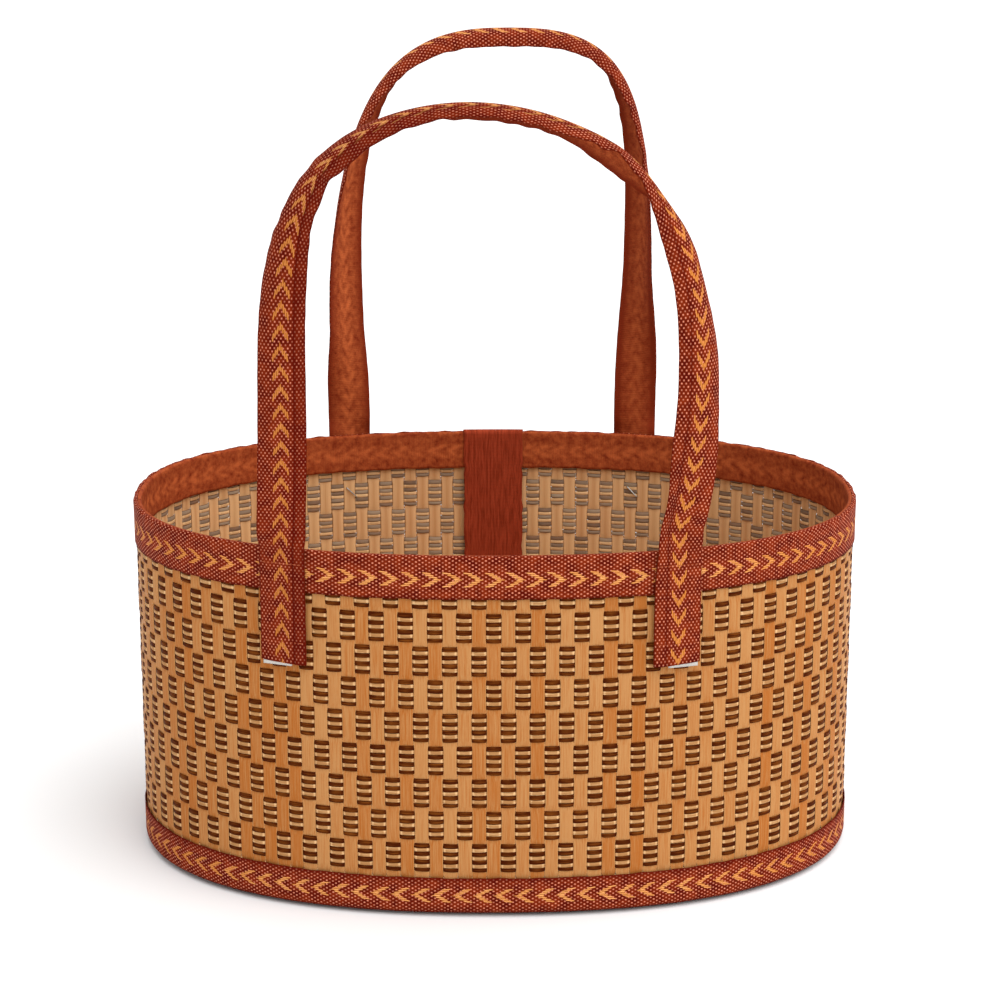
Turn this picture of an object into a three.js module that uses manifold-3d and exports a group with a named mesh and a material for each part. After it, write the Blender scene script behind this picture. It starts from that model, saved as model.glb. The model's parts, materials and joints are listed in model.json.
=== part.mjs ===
// An oval picnic basket: a wall of woven bamboo on a woven floor, bound at the rim and at the base with
// ribbon, with a cloth strip over the wall's seam and two ribbon handles that hold a plastic strap.
// Millimetres, +Z up. The origin is the middle of the base where the basket stands. The handles stand
// at the front, -Y, and at the back, and the wall's seam is at the back.

import * as THREE from "three";
import { mergeVertices } from "three/addons/utils/BufferGeometryUtils.js";
import loadManifold from "manifold-3d";

// Basket, measured over the rim ribbon; an oval power of 2 is an ellipse, and more is squarer
const basketLength = 400;
const basketDepth = 275;
const basketHeight = 196;
const ovalPower = 2.28;

// Space left between pieces that lie on each other
const clearance = 0.3;

// Woven bamboo
const matThickness = 1.8;
const seamGap = 0.6;
const hoopThickness = 0.8;
const rimHoopHeight = 17;
const baseHoopHeight = 14;

// Ribbon on the rim and the base
const ribbonThickness = 0.5;
const rimRibbonDrop = 22.7;
const rimRibbonLip = 2.6;
const rimInnerDrop = 22.5;
const lipRadius = 1.4;
const baseRibbonHeight = 20.6;
const baseRibbonTurn = 5;

// Cloth strip over the seam
const seamStripWidth = 36;
const seamStripThickness = 0.6;

// Handle straps: ribbon, plastic core, ribbon
const strapWidth = 25;
const coreWidth = 16;
const coreThickness = 0.8;
const coreShow = 1.2;
const tabLength = 61;
const hingeRise = 12;
const kneeSlack = 0.24;
const curlAngle = 70;

// Staples that hold each leg's core to the wall
const stapleWire = 0.8;
const stapleCrown = 9.5;
const stapleSlant = 45;
const stapleDrop = 36;

// Handles, seen from outside the basket. The arch is a superellipse of the given rise over the two legs,
// where a higher leg power keeps the legs upright for longer and a higher top power flattens the top. It
// leans sideways at the top and bulges at its two shoulders: a higher bulge power makes the bulges shorter,
// and a bulge sag moves them down the legs. Each turn gives two shares of the strap's length and the degrees
// by which the strap's face turns smoothly between them, from facing outwards towards the top of the arch.
const frontHandle = {
  name: "front",
  side: -1,
  legSpacing: 201.4,
  shift: -8.7,
  rise: 213.7,
  legPower: 5.6,
  topPower: 1.95,
  lean: -4.8,
  bulgeLeft: -1.8,
  bulgeRight: 10.4,
  bulgePower: 1,
  bulgeSag: 0.3,
  turns: [
    [0.15, 0.51, 101],
    [0.57, 0.63, 20],
    [0.63, 0.747, -70],
    [0.747, 0.86, -20.5],
    [0.86, 1, -30.5],
  ],
};
const backHandle = {
  name: "back",
  side: 1,
  legSpacing: 172.4,
  shift: -0.7,
  rise: 229.5,
  legPower: 6,
  topPower: 2.75,
  lean: -10.4,
  bulgeLeft: 2.5,
  bulgeRight: 3.6,
  bulgePower: 2,
  bulgeSag: 0,
  turns: [
    [0, 0.17, 50],
    [0.17, 0.5, 54],
    [0.5, 0.9, -66],
    [0.9, 1, -38],
  ],
};

// Faces round the oval and along a handle
const ovalSegments = 64;
const archSegments = 56;
const seamSegments = 4;
const tabTwistSegments = 3;
const lipCornerSegments = 2;
const curveDivisions = 1600;

// Sizes that follow from the ones above. Offsets are measured outwards from the rim ribbon's outside.
const halfLength = basketLength / 2;
const halfDepth = basketDepth / 2;
const matOuter = -ribbonThickness - clearance;
const matInner = matOuter - matThickness;
const hoopOuter = matInner - clearance;
const hoopInner = hoopOuter - hoopThickness;
const innerRibbonOuter = hoopInner - clearance;
const innerRibbonInner = innerRibbonOuter - ribbonThickness;
const floorBottom = ribbonThickness + clearance;
const floorTop = floorBottom + matThickness;
const wallBottom = floorTop + clearance;
const wallTop = basketHeight - ribbonThickness - clearance;
const strapHalf = coreThickness / 2 + clearance + ribbonThickness;
const strapSeat = clearance + strapHalf;
const hingeHeight = basketHeight + hingeRise;
const kneeRadius = strapHalf + kneeSlack;
const tabTop = hingeHeight - kneeRadius - clearance;
const tabBottom = basketHeight - tabLength;
const stapleHeight = basketHeight - stapleDrop;

const bamboo = new THREE.MeshStandardMaterial({ color: 0xb5834f, roughness: 0.6, metalness: 0 });
const bambooHoop = new THREE.MeshStandardMaterial({ color: 0xc79a63, roughness: 0.6, metalness: 0 });
const ribbonFace = new THREE.MeshStandardMaterial({ color: 0x8a4d3a, roughness: 0.8, metalness: 0 });
const ribbonReverse = new THREE.MeshStandardMaterial({ color: 0x8f5340, roughness: 0.85, metalness: 0 });
const seamCloth = new THREE.MeshStandardMaterial({ color: 0x5b2d28, roughness: 0.9, metalness: 0 });
const whiteStrap = new THREE.MeshStandardMaterial({ color: 0xece9e2, roughness: 0.5, metalness: 0 });
const stapleSteel = new THREE.MeshStandardMaterial({ color: 0xb9b9b6, roughness: 0.35, metalness: 1 });

const manifold = await loadManifold();
manifold.setup();

const up = new THREE.Vector3(0, 0, 1);

// The rim's outside seen from above, from the back's middle anticlockwise round the basket
class Oval extends THREE.Curve {
  getPoint(share, target = new THREE.Vector3()) {
    const turn = 2 * Math.PI * share;
    const bend = 2 / ovalPower;
    const across = Math.abs(Math.sin(turn)) ** bend * Math.sign(Math.sin(turn));
    const along = Math.abs(Math.cos(turn)) ** bend * Math.sign(Math.cos(turn));
    return target.set(-halfLength * across, halfDepth * along, 0);
  }
}
const rimOval = new Oval();
rimOval.arcLengthDivisions = curveDivisions;
const rimLength = rimOval.getLength();

function ovalNormal(point) {
  const slopeX = Math.abs(point.x / halfLength) ** (ovalPower - 1) / halfLength;
  const slopeY = Math.abs(point.y / halfDepth) ** (ovalPower - 1) / halfDepth;
  return new THREE.Vector3(Math.sign(point.x) * slopeX, Math.sign(point.y) * slopeY, 0).normalize();
}

function ovalPoint(share, offset, height) {
  const point = rimOval.getPointAt(THREE.MathUtils.euclideanModulo(share, 1));
  return point.addScaledVector(ovalNormal(point), offset).setZ(height);
}

// A solid from its points and triangles, with its faces turned to point out
function solidFrom(points, triangles) {
  let volume = 0;
  for (let i = 0; i < triangles.length; i += 3) {
    const [a, b, c] = [points[triangles[i]], points[triangles[i + 1]], points[triangles[i + 2]]];
    volume += a.dot(b.clone().cross(c));
  }
  const facing = volume < 0 ? triangles.slice().reverse() : triangles;
  const geometry = new THREE.BufferGeometry().setFromPoints(points);
  geometry.setIndex(facing);
  geometry.computeVertexNormals();
  return geometry;
}

// The triangles of a flat outline, wound as the outline is
function outlineTriangles(outline) {
  const winding = THREE.ShapeUtils.area(outline);
  return THREE.ShapeUtils.triangulateShape(outline, []).map(([a, b, c]) => {
    const turn = THREE.ShapeUtils.area([outline[a], outline[b], outline[c]]);
    return turn * winding > 0 ? [a, b, c] : [a, c, b];
  });
}

// A profile of (offset, height) points carried round the oval, between two shares of its length or, where
// these are a whole turn apart, as a closed ring
function ovalSweep(profile, from, to, segments) {
  const ring = to - from === 1;
  const stations = ring ? segments : segments + 1;
  const points = [];
  for (let station = 0; station < stations; station += 1) {
    const share = from + ((to - from) * station) / segments;
    points.push(...profile.map((corner) => ovalPoint(share, corner.x, corner.y)));
  }
  const count = profile.length;
  const triangles = [];
  for (let segment = 0; segment < segments; segment += 1) {
    const here = segment * count;
    const next = ((segment + 1) % stations) * count;
    for (let corner = 0; corner < count; corner += 1) {
      const after = (corner + 1) % count;
      triangles.push(here + corner, here + after, next + after);
      triangles.push(here + corner, next + after, next + corner);
    }
  }
  if (!ring) {
    const last = (stations - 1) * count;
    for (const [a, b, c] of outlineTriangles(profile)) {
      triangles.push(a, c, b);
      triangles.push(last + a, last + b, last + c);
    }
  }
  return solidFrom(points, triangles);
}

function band(outer, inner, bottom, top) {
  return [
    new THREE.Vector2(outer, bottom),
    new THREE.Vector2(outer, top),
    new THREE.Vector2(inner, top),
    new THREE.Vector2(inner, bottom),
  ];
}

function ovalRing(outer, inner, bottom, top) {
  return ovalSweep(band(outer, inner, bottom, top), 0, 1, ovalSegments);
}

// One side of a band folded over the rim: up the outside, round both corners and down the inside
function foldedLine(outer, inner, top, radius, outerEnd, innerEnd) {
  const line = [new THREE.Vector2(outer, outerEnd)];
  const corners = [
    [outer - radius, 0],
    [inner + radius, Math.PI / 2],
  ];
  for (const [centre, start] of corners) {
    for (let step = 0; step <= lipCornerSegments; step += 1) {
      const angle = start + (Math.PI / 2) * (step / lipCornerSegments);
      const x = centre + radius * Math.cos(angle);
      line.push(new THREE.Vector2(x, top - radius + radius * Math.sin(angle)));
    }
  }
  line.push(new THREE.Vector2(inner, innerEnd));
  return line;
}

// A band of the given thickness folded over the rim, with its outside at the given offsets
function foldedBand(outer, inner, top, radius, thickness, outerEnd, innerEnd) {
  const outside = foldedLine(outer, inner, top, radius, outerEnd, innerEnd);
  const inside = foldedLine(
    outer - thickness,
    inner + thickness,
    top - thickness,
    radius - thickness,
    outerEnd,
    innerEnd
  );
  return [...outside, ...inside.reverse()];
}

// A flat oval plate with its edge at the given offset
function ovalPlate(offset, bottom, top) {
  const edge = [];
  for (let station = 0; station < ovalSegments; station += 1) {
    const point = ovalPoint(station / ovalSegments, offset, 0);
    edge.push(new THREE.Vector2(point.x, point.y));
  }
  const geometry = new THREE.ExtrudeGeometry(new THREE.Shape(edge), {
    depth: top - bottom,
    bevelEnabled: false,
  });
  return geometry.translate(0, 0, bottom);
}

// A closed mesh as a solid that can be cut: its shared corners merged, with positions only
function toManifold(geometry) {
  const bare = new THREE.BufferGeometry();
  bare.setAttribute("position", geometry.getAttribute("position"));
  bare.setIndex(geometry.getIndex());
  const merged = mergeVertices(bare);
  const vertProperties = new Float32Array(merged.getAttribute("position").array);
  const triVerts = new Uint32Array(merged.getIndex().array);
  return new manifold.Manifold(new manifold.Mesh({ numProp: 3, vertProperties, triVerts }));
}

function cutAway(geometry, cutters) {
  let body = toManifold(geometry);
  for (const cutter of cutters) {
    body = body.subtract(toManifold(cutter));
  }
  const mesh = body.getMesh();
  const result = new THREE.BufferGeometry();
  result.setAttribute("position", new THREE.BufferAttribute(mesh.vertProperties, 3));
  result.setIndex(new THREE.BufferAttribute(mesh.triVerts, 1));
  result.computeVertexNormals();
  return result;
}

// One layer of a strap, between two heights over the strap's middle, carried through its stations. Each
// station has the strap's middle, the direction across it, the direction that it faces and how far each
// of its edges is curled back. Every layer is split the same way, so that twisted layers stay apart.
function strapLayer(stations, low, high, across) {
  const points = [];
  for (const station of stations) {
    for (const place of across) {
      for (const height of [low, high]) {
        points.push(strapPoint(station, place, height));
      }
    }
  }
  const count = across.length;
  const at = (station, place, side) => 2 * (station * count + place) + side;
  const triangles = [];
  const quad = (a, b, c, d) => triangles.push(a, b, c, a, c, d);
  const last = stations.length - 1;
  for (let s = 0; s < last; s += 1) {
    for (let k = 0; k < count - 1; k += 1) {
      triangles.push(at(s, k, 1), at(s, k + 1, 1), at(s + 1, k + 1, 1));
      triangles.push(at(s, k, 1), at(s + 1, k + 1, 1), at(s + 1, k, 1));
      triangles.push(at(s, k, 0), at(s + 1, k + 1, 0), at(s, k + 1, 0));
      triangles.push(at(s, k, 0), at(s + 1, k, 0), at(s + 1, k + 1, 0));
    }
    quad(at(s, 0, 0), at(s, 0, 1), at(s + 1, 0, 1), at(s + 1, 0, 0));
    quad(at(s, count - 1, 1), at(s, count - 1, 0), at(s + 1, count - 1, 0), at(s + 1, count - 1, 1));
  }
  for (let k = 0; k < count - 1; k += 1) {
    quad(at(0, k, 0), at(0, k + 1, 0), at(0, k + 1, 1), at(0, k, 1));
    quad(at(last, k + 1, 0), at(last, k, 0), at(last, k, 1), at(last, k + 1, 1));
  }
  return solidFrom(points, triangles);
}

// A point of a strap: flat, or on an arc whose ridge is the strap's middle
function strapPoint(station, place, height) {
  const point = station.middle.clone();
  if (station.curl === 0) {
    return point.addScaledVector(station.across, place).addScaledVector(station.face, height);
  }
  const radius = strapWidth / 2 / station.curl;
  const angle = place / radius;
  point.addScaledVector(station.across, (radius + height) * Math.sin(angle));
  return point.addScaledVector(station.face, (radius + height) * Math.cos(angle) - radius);
}

// The three layers of a strap, as heights over its middle and places across it
const coreHalf = coreWidth / 2;
const ribbonHalf = strapWidth / 2;
const ribbonLow = coreThickness / 2 + clearance;
const coreLayer = { low: -coreThickness / 2, high: coreThickness / 2 };
const outerLayer = { low: ribbonLow, high: strapHalf };
const innerLayer = { low: -strapHalf, high: -ribbonLow };
const flatRibbon = [-ribbonHalf, -coreHalf, coreHalf, ribbonHalf];
const flatCore = [-coreHalf, coreHalf];
const curledRibbon = [-ribbonHalf, -coreHalf, 0, coreHalf, ribbonHalf];
const curledCore = [-coreHalf, 0, coreHalf];

// Where a leg of a handle stands: on the rim at the given x, out by the strap's seat
function legRoot(handle, x) {
  const depth = (1 - Math.abs(x / halfLength) ** ovalPower) ** (1 / ovalPower);
  const wall = new THREE.Vector3(x, handle.side * halfDepth * depth, 0);
  const normal = ovalNormal(wall);
  return { middle: wall.addScaledVector(normal, strapSeat), normal };
}

// The two legs of a handle as seen from outside, and the line through them that the handle swings on
function handleFrame(handle) {
  const half = (-handle.side * handle.legSpacing) / 2;
  const left = legRoot(handle, handle.shift - half);
  const right = legRoot(handle, handle.shift + half);
  const line = right.middle.clone().sub(left.middle);
  const along = line.clone().normalize();
  return {
    left,
    right,
    halfSpan: line.length() / 2,
    middle: left.middle.clone().add(right.middle).multiplyScalar(0.5).setZ(hingeHeight),
    angle: Math.atan2(along.y, along.x),
    outward: along.clone().cross(up),
  };
}

// The middle line of a handle's arch, from its left leg to its right one, over the hinge line. The bulge
// at a shoulder is greatest at or a little below half the rise and dies out at the leg and at the top.
class ArchLine extends THREE.Curve {
  constructor(handle, halfSpan) {
    super();
    this.handle = handle;
    this.halfSpan = halfSpan;
    this.arcLengthDivisions = curveDivisions;
  }

  getPoint(share, target = new THREE.Vector3()) {
    const { rise, legPower, topPower, lean, bulgeLeft, bulgeRight, bulgePower, bulgeSag } = this.handle;
    const turn = Math.PI * share;
    const sideways = -Math.sign(Math.cos(turn)) * Math.abs(Math.cos(turn)) ** (2 / topPower);
    const climb = Math.abs(Math.sin(turn)) ** (2 / legPower);
    const bulge = sideways < 0 ? -bulgeLeft : bulgeRight;
    const shoulder = (4 * climb * (1 - climb)) ** bulgePower * (1 + bulgeSag * (1 - 2 * climb));
    return target.set(this.halfSpan * sideways + lean * climb ** 3 + bulge * shoulder, 0, rise * climb);
  }
}

// How far a handle's strap is turned at a share of its length, in radians
function strapTwist(handle, share) {
  let degrees = 0;
  for (const [from, to, turn] of handle.turns) {
    degrees += turn * THREE.MathUtils.smoothstep(share, from, to);
  }
  return THREE.MathUtils.degToRad(degrees);
}

// The stations of a handle's strap along its arch, whose first and last reach the given way below the
// hinge line
function archStations(handle, halfSpan, reach) {
  const line = new ArchLine(handle, halfSpan);
  const outward = new THREE.Vector3(0, -1, 0);
  const stations = [];
  for (let step = 0; step <= archSegments; step += 1) {
    const share = step / archSegments;
    const end = step === 0 || step === archSegments;
    const middle = line.getPointAt(share);
    const tangent = end ? up.clone().multiplyScalar(step === 0 ? 1 : -1) : line.getTangentAt(share);
    const angle = strapTwist(handle, share);
    const archNormal = new THREE.Vector3(-tangent.z, 0, tangent.x);
    const face = outward.clone().multiplyScalar(Math.cos(angle));
    face.addScaledVector(archNormal, Math.sin(angle));
    stations.push({
      middle: end ? middle.setZ(-reach) : middle,
      across: tangent.clone().cross(face),
      face,
      curl: end ? 0 : THREE.MathUtils.degToRad(curlAngle) * Math.sin(Math.PI * share),
    });
  }
  return stations;
}

// The stations of a strap's sewn end: flat on the wall, then turning over the rim to the hinge line
function tabStations(leg, outward, bottom) {
  const station = (height, face) => ({
    middle: leg.middle.clone().setZ(height),
    across: up.clone().cross(face),
    face,
    curl: 0,
  });
  const stations = [station(bottom, leg.normal)];
  for (let step = 0; step <= tabTwistSegments; step += 1) {
    const share = step / tabTwistSegments;
    const face = leg.normal.clone().lerp(outward, share).normalize();
    stations.push(station(THREE.MathUtils.lerp(basketHeight, tabTop, share), face));
  }
  return stations;
}

// The frame of a leg's staple: its crown's slanted direction along X, the wall's outward normal along Z
function stapleFrame(leg) {
  const level = up.clone().cross(leg.normal);
  const slant = THREE.MathUtils.degToRad(stapleSlant);
  const crown = level.multiplyScalar(Math.cos(slant)).addScaledVector(up, Math.sin(slant));
  const frame = new THREE.Matrix4().makeBasis(crown, leg.normal.clone().cross(crown), leg.normal);
  return frame.setPosition(leg.middle.clone().setZ(stapleHeight));
}

// Along the wall's normal, from the strap's middle: the crown on the wall's inside, and the leg tips
// level with the core's face
const crownOuter = matInner - clearance - strapSeat;
const crownInner = crownOuter - stapleWire;
const stapleTip = coreThickness / 2;

function stapleSolid(leg) {
  const half = stapleCrown / 2;
  const outline = new THREE.Shape([
    new THREE.Vector2(-half, crownInner),
    new THREE.Vector2(half, crownInner),
    new THREE.Vector2(half, stapleTip),
    new THREE.Vector2(half - stapleWire, stapleTip),
    new THREE.Vector2(half - stapleWire, crownOuter),
    new THREE.Vector2(-half + stapleWire, crownOuter),
    new THREE.Vector2(-half + stapleWire, stapleTip),
    new THREE.Vector2(-half, stapleTip),
  ]);
  const geometry = new THREE.ExtrudeGeometry(outline, { depth: stapleWire, bevelEnabled: false });
  geometry.translate(0, 0, -stapleWire / 2).rotateX(Math.PI / 2);
  return geometry.applyMatrix4(stapleFrame(leg));
}

// The two holes that a leg's staple passes through
function stapleHoles(leg) {
  const hole = stapleWire + 2 * clearance;
  const bottom = crownInner;
  const top = strapHalf;
  return [-1, 1].map((end) => {
    const geometry = new THREE.BoxGeometry(hole, hole, top - bottom);
    geometry.translate((end * (stapleCrown - stapleWire)) / 2, 0, (top + bottom) / 2);
    return geometry.applyMatrix4(stapleFrame(leg));
  });
}

function piece(name, geometry, material) {
  const mesh = new THREE.Mesh(geometry, material);
  mesh.name = name;
  return mesh;
}

const frontFrame = handleFrame(frontHandle);
const backFrame = handleFrame(backHandle);
const legs = [frontFrame.left, frontFrame.right, backFrame.left, backFrame.right];

// The woven wall is one mat whose ends meet at the back, with the staples' holes
function wallMat() {
  const halfGap = seamGap / 2 / rimLength;
  const profile = band(matOuter, matInner, wallBottom, wallTop);
  const wall = ovalSweep(profile, halfGap, 1 - halfGap, ovalSegments);
  return piece("wall_mat", cutAway(wall, legs.flatMap(stapleHoles)), bamboo);
}

function baseMat() {
  return piece("base_mat", ovalPlate(matOuter, floorBottom, floorTop), bamboo);
}

function hoops() {
  const rim = ovalRing(hoopOuter, hoopInner, wallTop - rimHoopHeight, wallTop);
  const base = ovalRing(hoopOuter, hoopInner, wallBottom, wallBottom + baseHoopHeight);
  return [piece("rim_hoop", rim, bambooHoop), piece("base_hoop", base, bambooHoop)];
}

// The rim's outer ribbon turns over the lip, and the inner one starts under its turned edge
function rimRibbons() {
  const fold = foldedBand(
    0,
    innerRibbonInner,
    basketHeight,
    lipRadius,
    ribbonThickness,
    basketHeight - rimRibbonDrop,
    basketHeight - rimRibbonLip
  );
  const outer = ovalSweep(fold, 0, 1, ovalSegments);
  const innerTop = basketHeight - rimRibbonLip - clearance;
  const inner = ovalRing(innerRibbonOuter, innerRibbonInner, basketHeight - rimInnerDrop, innerTop);
  return [
    piece("rim_ribbon_outer", outer, ribbonFace),
    piece("rim_ribbon_inner", inner, ribbonReverse),
  ];
}

// The base ribbon turns under the floor, and the basket stands on its turned edge
function baseRibbon() {
  const profile = [
    new THREE.Vector2(0, 0),
    new THREE.Vector2(0, baseRibbonHeight),
    new THREE.Vector2(-ribbonThickness, baseRibbonHeight),
    new THREE.Vector2(-ribbonThickness, ribbonThickness),
    new THREE.Vector2(-baseRibbonTurn, ribbonThickness),
    new THREE.Vector2(-baseRibbonTurn, 0),
  ];
  return piece("base_ribbon", ovalSweep(profile, 0, 1, ovalSegments), ribbonFace);
}

// The strip over the seam runs from the floor up the inside, over the rim and down to the base ribbon
function seamStrip() {
  const outside = clearance + seamStripThickness;
  const profile = foldedBand(
    outside,
    innerRibbonInner - outside,
    basketHeight + outside,
    lipRadius + outside,
    seamStripThickness,
    baseRibbonHeight + clearance,
    wallBottom
  );
  const halfShare = seamStripWidth / 2 / rimLength;
  return piece("seam_strip", ovalSweep(profile, -halfShare, halfShare, seamSegments), seamCloth);
}

// A leg's sewn end: two ribbons with the core between them, stapled to the wall
function legPieces(name, leg, outward) {
  const ribbonStations = tabStations(leg, outward, tabBottom);
  const coreStations = tabStations(leg, outward, tabBottom - coreShow);
  const holes = stapleHoles(leg);
  const outer = strapLayer(ribbonStations, outerLayer.low, outerLayer.high, flatRibbon);
  const core = strapLayer(coreStations, coreLayer.low, coreLayer.high, flatCore);
  const inner = strapLayer(ribbonStations, innerLayer.low, innerLayer.high, flatRibbon);
  return [
    piece(`${name}_tab_ribbon_outer`, outer, ribbonFace),
    piece(`${name}_tab_core`, cutAway(core, holes), whiteStrap),
    piece(`${name}_tab_ribbon_inner`, cutAway(inner, holes), ribbonReverse),
    piece(`${name}_staple`, stapleSolid(leg), stapleSteel),
  ];
}

// A handle's standing arch. Its layers end inside the knee's radius round the hinge line, so that they
// clear the sewn ends at any angle.
function archPieces(handle, frame) {
  const coreReach = Math.sqrt(kneeRadius ** 2 - coreLayer.high ** 2);
  const ribbonReach = Math.sqrt(kneeRadius ** 2 - outerLayer.high ** 2);
  const coreStations = archStations(handle, frame.halfSpan, coreReach);
  const ribbonStations = archStations(handle, frame.halfSpan, ribbonReach);
  const outer = strapLayer(ribbonStations, outerLayer.low, outerLayer.high, curledRibbon);
  const core = strapLayer(coreStations, coreLayer.low, coreLayer.high, curledCore);
  const inner = strapLayer(ribbonStations, innerLayer.low, innerLayer.high, curledRibbon);
  const group = new THREE.Group();
  group.position.copy(frame.middle);
  group.rotation.z = frame.angle;
  group.add(piece(`${handle.name}_handle_ribbon_outer`, outer, ribbonFace));
  group.add(piece(`${handle.name}_handle_core`, core, whiteStrap));
  group.add(piece(`${handle.name}_handle_ribbon_inner`, inner, ribbonReverse));
  return group;
}

const basket = new THREE.Group();
basket.add(wallMat(), baseMat(), ...hoops(), ...rimRibbons(), baseRibbon(), seamStrip());
basket.add(...legPieces("front_left", frontFrame.left, frontFrame.outward));
basket.add(...legPieces("front_right", frontFrame.right, frontFrame.outward));
basket.add(...legPieces("back_right", backFrame.left, backFrame.outward));
basket.add(...legPieces("back_left", backFrame.right, backFrame.outward));
basket.add(archPieces(frontHandle, frontFrame));
basket.add(archPieces(backHandle, backFrame));

export default basket;
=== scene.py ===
"""An oval picnic basket, dressed round its solids: woven bamboo, jacquard ribbon, cloth and steel.

Lengths are in metres and angles in degrees. A share is a part of a line's length, from 0 to 1. Offsets
are measured outwards from the outside of the rim ribbon, as they are on the solids.
"""

import json
from functools import partial

import bpy
import numpy as np
from bpy.props import FloatProperty, FloatVectorProperty, IntProperty, PointerProperty
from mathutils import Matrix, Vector


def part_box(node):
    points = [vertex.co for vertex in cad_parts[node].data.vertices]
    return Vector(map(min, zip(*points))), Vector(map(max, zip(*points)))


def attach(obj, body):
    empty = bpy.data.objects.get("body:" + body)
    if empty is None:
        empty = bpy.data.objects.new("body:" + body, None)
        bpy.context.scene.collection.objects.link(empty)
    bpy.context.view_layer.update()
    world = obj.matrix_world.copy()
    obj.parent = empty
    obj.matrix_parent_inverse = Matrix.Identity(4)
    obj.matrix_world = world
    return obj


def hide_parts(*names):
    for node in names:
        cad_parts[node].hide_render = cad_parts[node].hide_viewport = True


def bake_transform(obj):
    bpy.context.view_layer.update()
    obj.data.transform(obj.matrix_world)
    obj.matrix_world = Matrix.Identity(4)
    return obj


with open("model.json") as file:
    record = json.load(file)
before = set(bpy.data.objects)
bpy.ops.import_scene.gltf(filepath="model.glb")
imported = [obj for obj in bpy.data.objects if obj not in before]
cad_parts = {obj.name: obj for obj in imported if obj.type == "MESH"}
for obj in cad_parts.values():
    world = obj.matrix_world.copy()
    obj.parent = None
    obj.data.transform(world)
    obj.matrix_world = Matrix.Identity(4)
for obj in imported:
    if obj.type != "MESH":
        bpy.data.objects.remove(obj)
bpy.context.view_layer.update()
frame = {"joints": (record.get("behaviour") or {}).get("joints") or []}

bl_info = {
    "name": "Woven Picnic Basket",
    "version": (1, 0, 0),
    "blender": (4, 5, 0),
    "location": "3D View > Sidebar > Basket",
    "description": "Dresses an oval basket in woven bamboo, ribbon, cloth and steel",
    "category": "Object",
}

MM = 0.001
UP = np.array([0.0, 0.0, 1.0])


def ends(node):
    """The heights of a solid's bottom and top."""
    return tuple(corner.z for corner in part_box(node))


# The basket's own sizes, from its solids
HALF_LENGTH, HALF_DEPTH, RIM_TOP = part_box("rim_ribbon_outer")[1]
OVAL_POWER = 2.28
FLOOR_MIDDLE = sum(ends("base_mat")) / 2
WALL_BOTTOM, WALL_TOP = ends("wall_mat")
RIM_RIBBON_BOTTOM = ends("rim_ribbon_outer")[0]
INNER_RIBBON_BOTTOM = ends("rim_ribbon_inner")[0]
BASE_RIBBON_TOP = ends("base_ribbon")[1]
SEAM_TOP = ends("seam_strip")[1]
TAB_BOTTOM, TAB_TOP = ends("front_left_tab_ribbon_outer")
CORE_BOTTOM = ends("front_left_tab_core")[0]
STAPLE_HEIGHT = sum(ends("front_left_staple")) / 2
HINGE_HEIGHT = frame["joints"][0]["pos_m"][2]

# Layers of the wall, as offsets from the handles' straps inwards
STRAP_SEAT = 1.5 * MM
FLOOR_EDGE = -1.0 * MM
MAT_MIDDLE = -1.7 * MM
LIP_MIDDLE = -2.3 * MM
HOOP_OUTER = -2.9 * MM
HOOP_INNER = -3.7 * MM
INNER_RIBBON_INNER = -4.5 * MM

# The rounding of the rim, how much lower its lining lies, and the gap between ribbon and seam strip
LIP_RADIUS = 1.4 * MM
LINING_DROP = 0.1 * MM
CLEARANCE = 0.3 * MM

# Half the thickness of a handle's strap, its ribbon's face over its middle, and half its core's thickness
STRAP_HALF = 1.2 * MM
RIBBON_FACE = 1.15 * MM
CORE_HALF = 0.36 * MM

# Along a handle: how far its hem's stitches are from its end, the heights between which its ribbons work
# loose, and the shares of the strap between which its crown starts, the pattern's rows draw together and
# its crown ends
HEM_LINE = 11.8 * MM
LOOSE = (HINGE_HEIGHT + 120 * MM, HINGE_HEIGHT + 190 * MM)
CROWN_START = (0.3, 0.4)
SNUG_START = (0.33, 0.41)
CROWN_END = (0.68, 0.6)

# How much painted sheen the chevrons lose off a handle's crown and off the front of a ring, the shares of
# the ring from the front's middle between which they lose it, and how dark the ring's edges get under their
# painted shade and plain hem
STRAP_SHEEN_LOSS = 0.62
RING_SHEEN_LOSS = 0.6
RING_FRONT = (0.09, 0.17)
RING_SHADE_AND_HEM = 0.85

# How wide a bamboo fibre's streak is, and how long on each sort of strip
FIBRE = 0.5 * MM
SLAT_STREAK = 30 * MM
SPLINT_STREAK = 12 * MM
HOOP_STREAK = 15 * MM

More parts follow.
